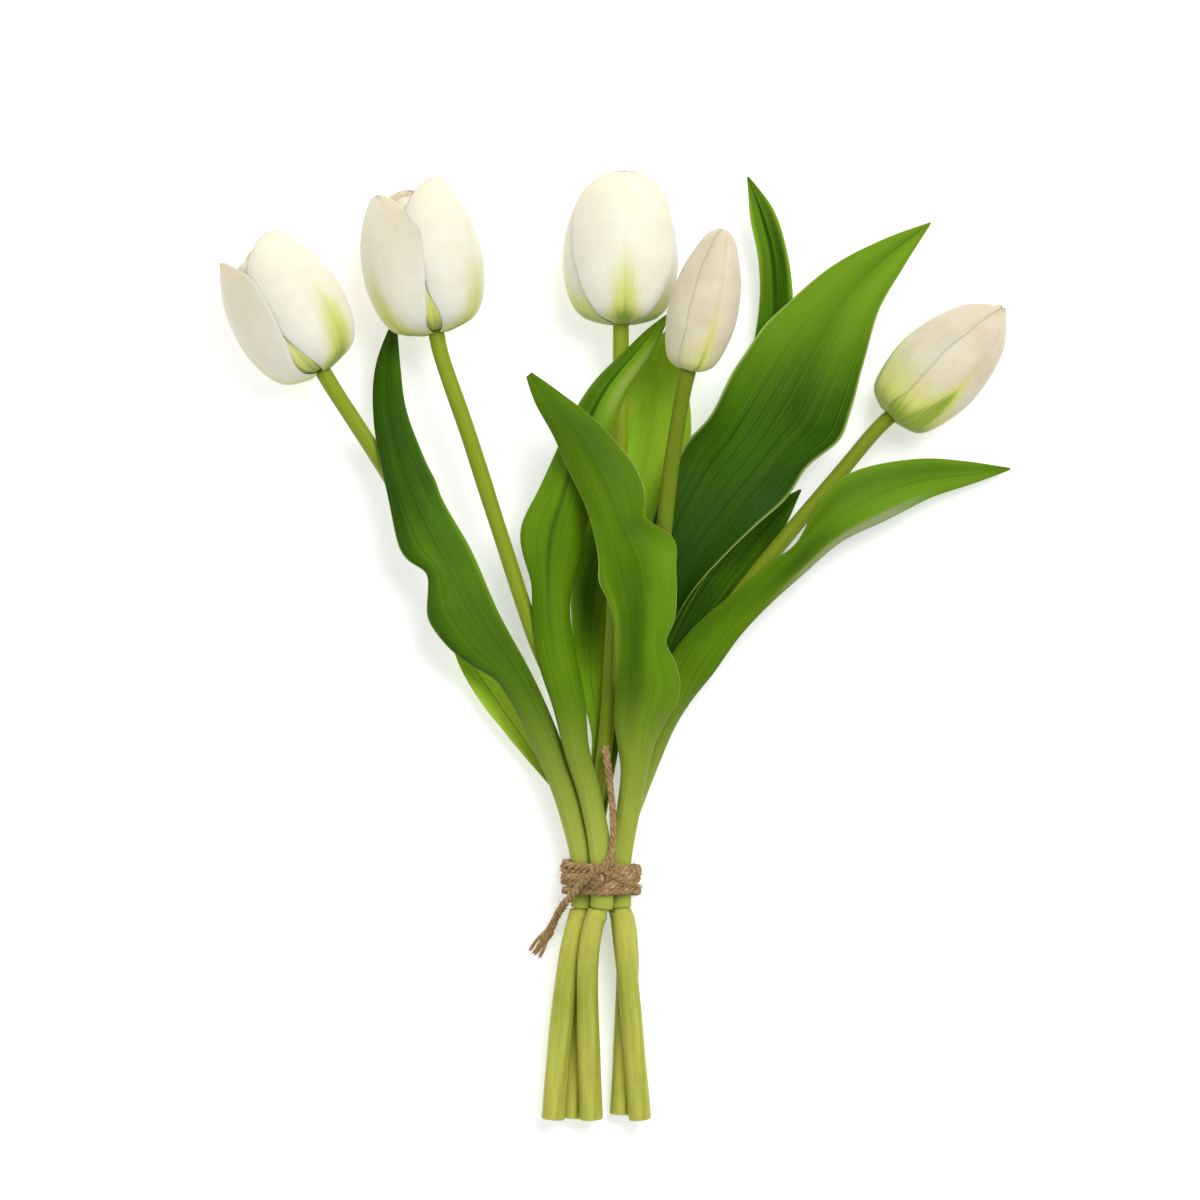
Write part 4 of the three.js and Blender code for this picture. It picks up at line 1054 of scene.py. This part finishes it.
class TULIPS_OT_leaves(Operator):
    """Makes the nine leaves, five of them closed round their stems through the tie"""

    bl_idname = "tulips.leaves"
    bl_label = "Leaves"

    def execute(self, context):
        sizes, colours = context.scene.tulip_sizes, context.scene.tulip_colours
        # the third green of each tone colours the veins and also the painted light
        shades = {
            "deep": (colours.leaf_dark_and_shade, colours.leaf, colours.leaf_veins_and_painted_light),
            "fresh": (colours.leaf, colours.leaf_fresh, colours.leaf_veins_and_painted_light),
            "young": (colours.leaf_fresh, colours.leaf_young, colours.leaf_lime_veins_and_painted_light),
        }
        tones = {tone: leaf_material(f"leaf_{tone}", colours, *greens) for tone, greens in shades.items()}
        for number, (name, leaf) in enumerate(LEAVES.items()):
            points, normal, body, masks, across, along = leaf_grid(
                leaf, 500 + number, sizes.leaf_thickness / MM
            )
            skin = Skin()
            add_shell(skin, points, normal, body, across=across, along=along, **masks)
            piece = skin.make(f"{name}_blade", tones[leaf["tone"]])
            finish_piece(piece, "young_leaf" if leaf["tone"] == "young" else "leaf", name)
        return {"FINISHED"}


# ------------------------------------------------------------------ twine

WRAPS_TOP = FRONT_ROW + WRAPPED_RADIUS + CLEARANCE + TWINE_DIAMETER
KNOT_RADIUS = 2.3
KNOT_TUBE = 0.95
KNOT_HEIGHT = WRAPS_TOP + CLEARANCE + KNOT_RADIUS / 2 + KNOT_TUBE
KNOT_PLACE = np.array([-1.4, 2.0, KNOT_HEIGHT])
TAIL_LIFT = TWINE_DIAMETER / 2 + CLEARANCE

# How much wider than the solids the twine spreads out in its wraps and in its knot, how finely a free
# end is drawn, and the share of its length from which it frays.
WRAPS_SPREAD = 1.1
KNOT_SPREAD = 1.15
TAIL_POINTS = 170
FRAYS_FROM = 0.62

# Strands that cross the wraps, from the knot outwards.
CROSSINGS = [
    [(9.6, -1.5, 26.2), (6.8, 0.4, 28.6), (3.2, 2, KNOT_HEIGHT - 1.8), (-1.4, 1.6, KNOT_HEIGHT - 1.3)],
    [
        (4.8, 8.4, KNOT_HEIGHT - 2.2), (3, 6.6, KNOT_HEIGHT - 0.4), (0, 4.4, KNOT_HEIGHT + 0.4),
        (-3.4, 2.2, KNOT_HEIGHT + 0.3), (-6.4, 0.5, KNOT_HEIGHT),
    ],
]

# Loose turns over the wraps, as (first angle, last angle, y at the start, y at the end), and how high
# they climb over them.
LOOSE_TURNS = [(196, 78, 5.6, -3.6), (188, 60, -1.4, 4.4), (-8, 112, -4.4, 1.6), (-4, 84, 4.6, -1.8)]
OVER_WRAPS = 1.5

# The two free ends, from the knot outwards.
LONG_TAIL = [
    (-6.4, 0.5, KNOT_HEIGHT), (-8.6, -2, KNOT_HEIGHT - 2.2), (-10.6, -4.6, KNOT_HEIGHT - 4.4),
    (-12.6, -7, 25.2), (-14.4, -9.2, 22.9), (-15.8, -11.2, 19.6), (-16.9, -13, 15.9),
    (-17.8, -14.8, 12.3), (-18.7, -16.6, 9),
    (-19.6, -18.6, 6.2), (-20.7, -20.9, 4), (-22.1, -23.4, 2.5), (-23.8, -26, TAIL_LIFT + 0.1),
    (-25.5, -28.5, TAIL_LIFT), (-27.2, -31, TAIL_LIFT),
]
SHORT_TAIL = [
    (1.4, 5.4, KNOT_HEIGHT), (2.6, 7.8, 31.2), (3.5, 10.4, 29.4), (4.1, 13.2, 27.8), (4.4, 16.2, 26.5),
    (4.5, 19.4, 25.4), (4.4, 22.8, 24.6), (4.3, 26.2, 24), (4.1, 29.8, 23.6), (3.7, 33.4, 23.3),
    (3.3, 37.2, 23), (2.9, 41, 22.7), (2.4, 45, 22.4), (1.9, 49, 22.2), (1.4, 53, 22),
]


def round_bundle(angle, lift):
    """Places on the outside of the bundled sheaths, as (x, z): in each direction the twine lies against
    the sheath that sticks out furthest, lifted off it by lift."""
    out = np.stack([np.cos(angle), np.sin(angle)], axis=1)
    slots = np.array(list(SLOTS.values()))
    reach = out @ slots.T
    soft = np.exp((reach - reach.max(axis=1, keepdims=True)) / 0.35)
    centre = (soft @ slots) / soft.sum(axis=1, keepdims=True)
    away = WRAPPED_RADIUS + CLEARANCE + TWINE_DIAMETER / 2
    return centre + (away + lift)[:, None] * out


def strand_over_wraps(start, end, from_y, to_y, count=90):
    """A loose turn over the wraps, between two angles in degrees: it climbs out of them, crosses at a
    slant and sinks back in."""
    share = np.linspace(0, 1, count)
    lift = OVER_WRAPS * np.sin(math.pi * share) ** 0.5
    place = round_bundle(np.radians(start + (end - start) * share), lift)
    y = from_y + (to_y - from_y) * ease(0, 1, share)
    return np.stack([place[:, 0], y, place[:, 1]], axis=1)


def wrap_line(count):
    """The twine round the sheaths. It steps along the bundle by one pitch a turn, a little unevenly."""
    share = np.linspace(0, 1, count)
    angle = 2 * math.pi * TWINE_TURNS * share - math.pi / 2
    slots = np.array(list(SLOTS.values()))
    loose = 0.62 * np.sin(1.62 * angle) + 0.4 * np.sin(2.7 * angle + 1)
    place = round_bundle(angle, 0.3 + 0.45 * np.sin(1.62 * angle + 1.5))
    y = -TIE_HALF_WIDTH + TWINE_PITCH / 2 + (TWINE_TURNS - 1) * TWINE_PITCH * share + loose
    line = np.stack([place[:, 0], y, place[:, 1]], axis=1)
    distance = distance_along(line)
    even = np.linspace(0, distance[-1], count)
    line = np.stack([np.interp(even, distance, line[:, k]) for k in range(3)], axis=1)
    middle = slots.mean(axis=0)
    facing = line - np.array([middle[0], 0, middle[1]])
    facing[:, 1] = 0
    return line, unit(facing)


def add_twine(skin, line, facing, diameter, plies=3, lay=9.0, taper=None, fray=None, seed=0):
    """Twisted twine: plies wind round the line, one turn every lay millimetres, each a round section
    with small lumps. The plies touch each other and together are about as thick as the twine. Where
    fray rises from 0 to 1 they stop turning, spread apart and lie side by side."""
    random = np.random.default_rng(seed)
    ply = 0.5 * diameter / (1 + 2 / math.sqrt(3)) * 1.06
    offset = ply * 2 / math.sqrt(3)
    _, across, face = sections(line, facing)
    distance = distance_along(line)
    shrink = np.ones(len(line)) if taper is None else taper
    loose = np.zeros(len(line)) if fray is None else fray
    wound = np.cumsum(np.gradient(distance) * (1 - 0.9 * np.minimum(loose, 1))) / lay
    for k in range(plies):
        turn = 2 * math.pi * (wound + k / plies)
        slow = 0.08 * np.sin(distance * 1.1 + random.uniform(0, 6))
        quick = 0.05 * np.sin(distance * 2.7 + random.uniform(0, 6))
        wobble = 1 + slow + quick
        aside = offset * shrink[:, None] * (across * np.cos(turn)[:, None] + face * np.sin(turn)[:, None])
        aside = aside * (1 + 1.8 * loose[:, None])
        aside[:, 2] *= 1 - 0.85 * np.minimum(loose, 1)
        centre = line + aside
        phase = random.uniform(0, 6, 2)

        def lumps(angle, run, phase=phase):
            broad = 0.05 * np.sin(3 * angle + run * 2.3 + phase[0])
            return broad + 0.035 * np.sin(5 * angle - run * 4.1 + phase[1])

        add_tube(skin, centre, ply * wobble * shrink, 12, facing, 0.35, lumps)


def add_fibres(skin, line, diameter, count, seed, longest=5.5):
    """Loose fibres that leave the twine at a low angle: each is a thin ribbon of three faces."""
    random = np.random.default_rng(seed)
    _, across, face = sections(line, random.normal(size=3))
    run = unit(np.gradient(line, axis=0))
    at = random.integers(4, len(line) - 4, count)
    turn = random.uniform(0, 2 * math.pi, count)
    out = across[at] * np.cos(turn)[:, None] + face[at] * np.sin(turn)[:, None]
    sense = np.where(random.random(count) < 0.5, -1, 1)[:, None]
    length = random.uniform(1.5, longest, count)[:, None]
    start = line[at] + out * diameter * 0.42
    away = out * random.uniform(0.1, 0.7, (count, 1))
    heading = unit(sense * run[at] + away + random.normal(0, 0.25, (count, 3)))
    bow = out * random.uniform(-0.25, 0.25, (count, 1)) * length
    wide = unit(np.cross(heading, out)) * random.uniform(0.045, 0.09, (count, 1))
    stations = np.linspace(0, 1, 4)
    middle = start[:, None] + heading[:, None] * length[:, None] * stations[None, :, None]
    middle = middle + bow[:, None] * (stations**2)[None, :, None]
    middle[..., 2] = np.maximum(middle[..., 2], 0.1)
    width = wide[:, None] * (1 - 0.6 * stations)[None, :, None]
    points = np.stack([middle - width, middle + width], axis=2).reshape(-1, 3)
    base = np.arange(count)[:, None] * 8 + np.arange(3)[None, :] * 2
    faces = np.stack([base, base + 1, base + 3, base + 2], axis=2).reshape(-1, 4)
    corners = np.tile([[0.0, 0], [1, 0], [1, 1], [0, 1]], (len(faces), 1, 1))
    skin.add(points, faces, corners)


def knot_line(count):
    """An overhand knot: a trefoil, which goes three times in and out while it goes round twice."""
    t = np.linspace(0, 4 * math.pi, count)
    reach = KNOT_RADIUS * (2 + np.cos(1.5 * t)) / 2
    return np.stack([reach * np.cos(t), reach * np.sin(t), KNOT_RADIUS * np.sin(1.5 * t) / 2], axis=1)


def make_wraps(jute, diameter):
    """The turns of twine round the sheathed stems, with their loose fibres."""
    skin = Skin()
    line, facing = wrap_line(900)
    add_twine(skin, line, facing, diameter * WRAPS_SPREAD, seed=1)
    add_fibres(skin, line, diameter, 1100, 2)
    finish_piece(skin.make("twine_round_stems", jute), "twine", "twine_wraps")


def make_knot(jute, diameter):
    """The knot, the strands that run into it and the loose turns over the wraps."""
    skin = Skin()
    line = knot_line(240)
    add_twine(skin, line + KNOT_PLACE, unit(line), 2 * KNOT_TUBE * KNOT_SPREAD, lay=7, seed=3)
    strands = [(smooth_line(route, 60), UP) for route in CROSSINGS]
    strands += [(strand_over_wraps(*turn), ALONG) for turn in LOOSE_TURNS]
    for number, (strand, facing) in enumerate(strands):
        add_twine(skin, strand, facing, diameter, lay=8, seed=40 + number)
        add_fibres(skin, strand, diameter, 60, 50 + number)
    add_fibres(skin, line + KNOT_PLACE, diameter, 110, 4)
    finish_piece(skin.make("twine_overhand_knot", jute), "twine", "twine_knot")


def make_free_end(jute, diameter, number, name, route, facing, spread, fraying):
    """One free end of the twine: a cord, and its loose strands and fibres as a piece of their own."""
    line = smooth_line(route, TAIL_POINTS)
    share = np.linspace(0, 1, TAIL_POINTS)
    thick = diameter * spread
    skin = Skin()
    add_twine(skin, line, facing, thick, taper=1 - 0.3 * ease(0.75, 1, share), seed=5 + number)
    piece = finish_piece(skin.make(f"twine_{name}_end", jute), "twine", f"twine_end_{name}")

    skin = Skin()
    loose_end = line[share > FRAYS_FROM]
    fray = ease(0, 0.9, np.linspace(0, 1, len(loose_end))) * fraying
    add_twine(skin, loose_end, facing, thick * 0.9, fray=fray, seed=15 + number)
    add_fibres(skin, line, diameter, 130, 8 + number, 4)
    add_fibres(skin, loose_end, diameter * 1.6, 50, 18 + number, 6)
    strands = skin.make(f"twine_{name}_strands", jute)
    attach(strands, "root")


class TULIPS_OT_twine(Operator):
    """Makes the jute twine: its wraps, its knot and its two free ends"""

    bl_idname = "tulips.twine"
    bl_label = "Twine"

    def execute(self, context):
        jute = twine_material("jute", context.scene.tulip_colours)
        diameter = context.scene.tulip_sizes.twine_diameter / MM
        make_wraps(jute, diameter)
        make_knot(jute, diameter)
        make_free_end(jute, diameter, 0, "long", LONG_TAIL, np.array([1.0, -1.0, 0.0]), 1.15, 1.35)
        make_free_end(jute, diameter, 1, "short", SHORT_TAIL, UP, 0.97, 0.3)
        return {"FINISHED"}


# ------------------------------------------------------------------ stage


FLOOR_REACH = 4.0
SENSOR = 36

# The point that the camera looks at, in mm from the middle of the tie.
VIEW_CENTRE = np.array([-0.8, 111.6, 22])


class TULIPS_OT_stage(Operator):
    """Makes the pale floor, the soft studio light and the camera that looks straight down"""

    bl_idname = "tulips.stage"
    bl_label = "Stage"

    def execute(self, context):
        scene = context.scene
        light = scene.tulip_stage
        mesh = bpy.data.meshes.new("floor")
        reach = FLOOR_REACH
        rim = [(-reach, -reach, 0), (reach, -reach, 0), (reach, reach, 0), (-reach, reach, 0)]
        mesh.from_pydata(rim, [], [(0, 1, 2, 3)])
        mesh.materials.append(floor_material("floor_pale", light.floor, light.floor_glow))
        floor = bpy.data.objects.new("floor", mesh)
        scene.collection.objects.link(floor)

        world = bpy.data.worlds.new("studio")
        world.use_nodes = True
        background = world.node_tree.nodes["Background"]
        background.inputs["Color"].default_value = (1, 1, 1, 1)
        background.inputs["Strength"].default_value = light.surround
        scene.world = world

        for name, place, size, power in (
            ("key", (0.5, 0.75, 1.5), 0.9, light.key_power),
            ("fill", (-1.2, -0.2, 1.4), 1.2, light.fill_power),
        ):
            lamp = bpy.data.lights.new(name, "AREA")
            lamp.size = size
            lamp.energy = power
            holder = bpy.data.objects.new(name, lamp)
            holder.location = place
            toward = -np.array(place)
            holder.rotation_euler = (
                math.atan2(math.hypot(toward[0], toward[1]), -toward[2]), 0,
                math.atan2(toward[1], toward[0]) - math.pi / 2,
            )
            scene.collection.objects.link(holder)

        camera = bpy.data.cameras.new("camera")
        camera.sensor_width = SENSOR
        camera.lens = SENSOR * light.camera_height / light.view_width
        camera.clip_end = 20
        holder = bpy.data.objects.new("camera", camera)
        holder.location = TIE + VIEW_CENTRE * MM + light.camera_height * UP
        scene.collection.objects.link(holder)
        scene.camera = holder
        scene.view_settings.view_transform = "Standard"
        return {"FINISHED"}


# ------------------------------------------------------------------ settings and panel


def colour_property(name, description, value):
    """A colour setting with its first value."""
    return FloatVectorProperty(
        name=name, description=description, subtype="COLOR", size=3, min=0, max=1, default=value
    )


class TulipSizes(PropertyGroup):
    """Thicknesses that a user would change"""

    petal_thickness: FloatProperty(
        name="Petal thickness", description="Thickness mid-petal", default=0.001, unit="LENGTH"
    )
    leaf_thickness: FloatProperty(
        name="Leaf thickness", description="Thickness mid-leaf", default=0.0009, unit="LENGTH"
    )
    twine_diameter: FloatProperty(
        name="Twine diameter", description="Thickness of the twisted twine", default=0.0027, unit="LENGTH"
    )


class TulipColours(PropertyGroup):
    """Colours of the petals, leaves, stems and twine"""

    petal: colour_property("Petal", "Ivory of the petals", (0.92, 0.87, 0.71))
    petal_warm: colour_property("Petal, warm", "Warmer patches of the petals", (0.87, 0.81, 0.645))
    # beige blush of the petals, which is also the colour of their painted shade
    petal_blush_and_shade: colour_property("Petal, blush", "Beige blush towards the tips", (0.66, 0.53, 0.35))
    # painted highlight along the petal edges
    petal_highlight: colour_property("Petal, rim", "Light rim of the petals", (0.93, 0.91, 0.8))
    bud: colour_property("Bud", "Cream of the buds", (0.74, 0.67, 0.5))
    bud_warm: colour_property("Bud, warm", "Beige patches of the buds", (0.66, 0.56, 0.4))
    petal_lime: colour_property("Petal, lime", "Where the green fades into the petal", (0.66, 0.66, 0.2))
    petal_green: colour_property("Petal, green", "Green at the foot of the petals", (0.28, 0.39, 0.03))
    leaf: colour_property("Leaf", "Main green of the leaves", (0.055, 0.155, 0.001))
    # dark green between the veins, and also the painted shade of every leaf
    leaf_dark_and_shade: colour_property("Leaf, dark", "Dark green between the veins", (0.012, 0.048, 0.0005))
    leaf_fresh: colour_property("Leaf, fresh", "Fresh green of the front leaves", (0.12, 0.23, 0.002))
    # light green of the veins, and also the painted light of the deep and fresh leaves
    leaf_veins_and_painted_light: colour_property("Leaf, light", "Light green of the veins", (0.19, 0.35, 0.015))
    leaf_young: colour_property("Leaf, young", "Yellow-green of the young leaves", (0.3, 0.6, 0.016))
    # lime of the veins, and also the painted light of the young leaves
    leaf_lime_veins_and_painted_light: colour_property("Leaf, lime", "Lime veins of the young leaves", (0.42, 0.68, 0.035))
    # painted highlight on the leaf rims, and the brightest painted light
    leaf_highlight: colour_property("Leaf, rim", "Pale rim of the leaves", (0.4, 0.5, 0.12))
    leaf_under: colour_property("Leaf, underside", "Grey-green of a turned margin", (0.27, 0.33, 0.14))
    sheath: colour_property("Sheath", "Pale sheaths round the stems", (0.45, 0.49, 0.095))
    sheath_dark: colour_property("Sheath, dark", "Darker streaks of the sheaths", (0.33, 0.4, 0.04))
    stem: colour_property("Stem", "Upper part of the stems", (0.26, 0.35, 0.012))
    stem_low: colour_property("Stem, low", "Stems below the tie", (0.52, 0.52, 0.09))
    stem_dark: colour_property("Stem, dark", "Streaks on the stems", (0.22, 0.28, 0.01))
    stem_shade: colour_property("Stem, shaded", "The darker stems on the right", (0.07, 0.105, 0.001))
    stem_cut: colour_property("Stem, cut", "The cut face of a stem", (0.55, 0.58, 0.26))
    twine: colour_property("Twine", "Jute", (0.52, 0.335, 0.135))
    twine_dark: colour_property("Twine, dark", "Jute in the hollows", (0.215, 0.12, 0.04))
    twine_light: colour_property("Twine, light", "Light jute fibres", (0.66, 0.49, 0.27))


class TulipStage(PropertyGroup):
    """Floor, light and camera"""

    floor: colour_property("Floor", "Colour of the floor", (0.85, 0.85, 0.85))
    floor_glow: FloatProperty(
        name="Floor glow", description="Light that the white table gives off", default=0.5
    )
    surround: FloatProperty(
        name="Surround", description="Strength of the white surroundings", default=0.42
    )
    key_power: FloatProperty(
        name="Key light", description="Power of the main soft light", default=22, unit="POWER"
    )
    fill_power: FloatProperty(
        name="Fill light", description="Power of the fill light", default=6, unit="POWER"
    )
    camera_height: FloatProperty(
        name="Camera height", description="Height of the camera over the bunch", default=2.6, unit="LENGTH"
    )
    view_width: FloatProperty(
        name="View width", description="Width of the view at the bunch", default=0.48, unit="LENGTH"
    )


MAKERS = (TULIPS_OT_stage, TULIPS_OT_twine, TULIPS_OT_stems, TULIPS_OT_petals, TULIPS_OT_leaves)


class TULIPS_PT_panel(Panel):
    """Lists the settings and the pieces"""

    bl_label = "Tulip bunch"
    bl_idname = "TULIPS_PT_panel"
    bl_space_type = "VIEW_3D"
    bl_region_type = "UI"
    bl_category = "Tulips"

    def draw(self, context):
        for group in (context.scene.tulip_sizes, context.scene.tulip_colours, context.scene.tulip_stage):
            for name in group.__annotations__:
                self.layout.prop(group, name)
        for maker in MAKERS:
            self.layout.operator(maker.bl_idname)


CLASSES = (TulipSizes, TulipColours, TulipStage, *MAKERS, TULIPS_PT_panel)


def register():
    for cls in CLASSES:
        bpy.utils.register_class(cls)
    bpy.types.Scene.tulip_sizes = PointerProperty(type=TulipSizes)
    bpy.types.Scene.tulip_colours = PointerProperty(type=TulipColours)
    bpy.types.Scene.tulip_stage = PointerProperty(type=TulipStage)


def unregister():
    del bpy.types.Scene.tulip_stage
    del bpy.types.Scene.tulip_colours
    del bpy.types.Scene.tulip_sizes
    for cls in reversed(CLASSES):
        bpy.utils.unregister_class(cls)


def main():
    """Makes every piece in order."""
    register()
    bpy.ops.tulips.stage()
    bpy.ops.tulips.twine()
    bpy.ops.tulips.stems()
    bpy.ops.tulips.petals()
    bpy.ops.tulips.leaves()


if __name__ == "__main__":
    main()
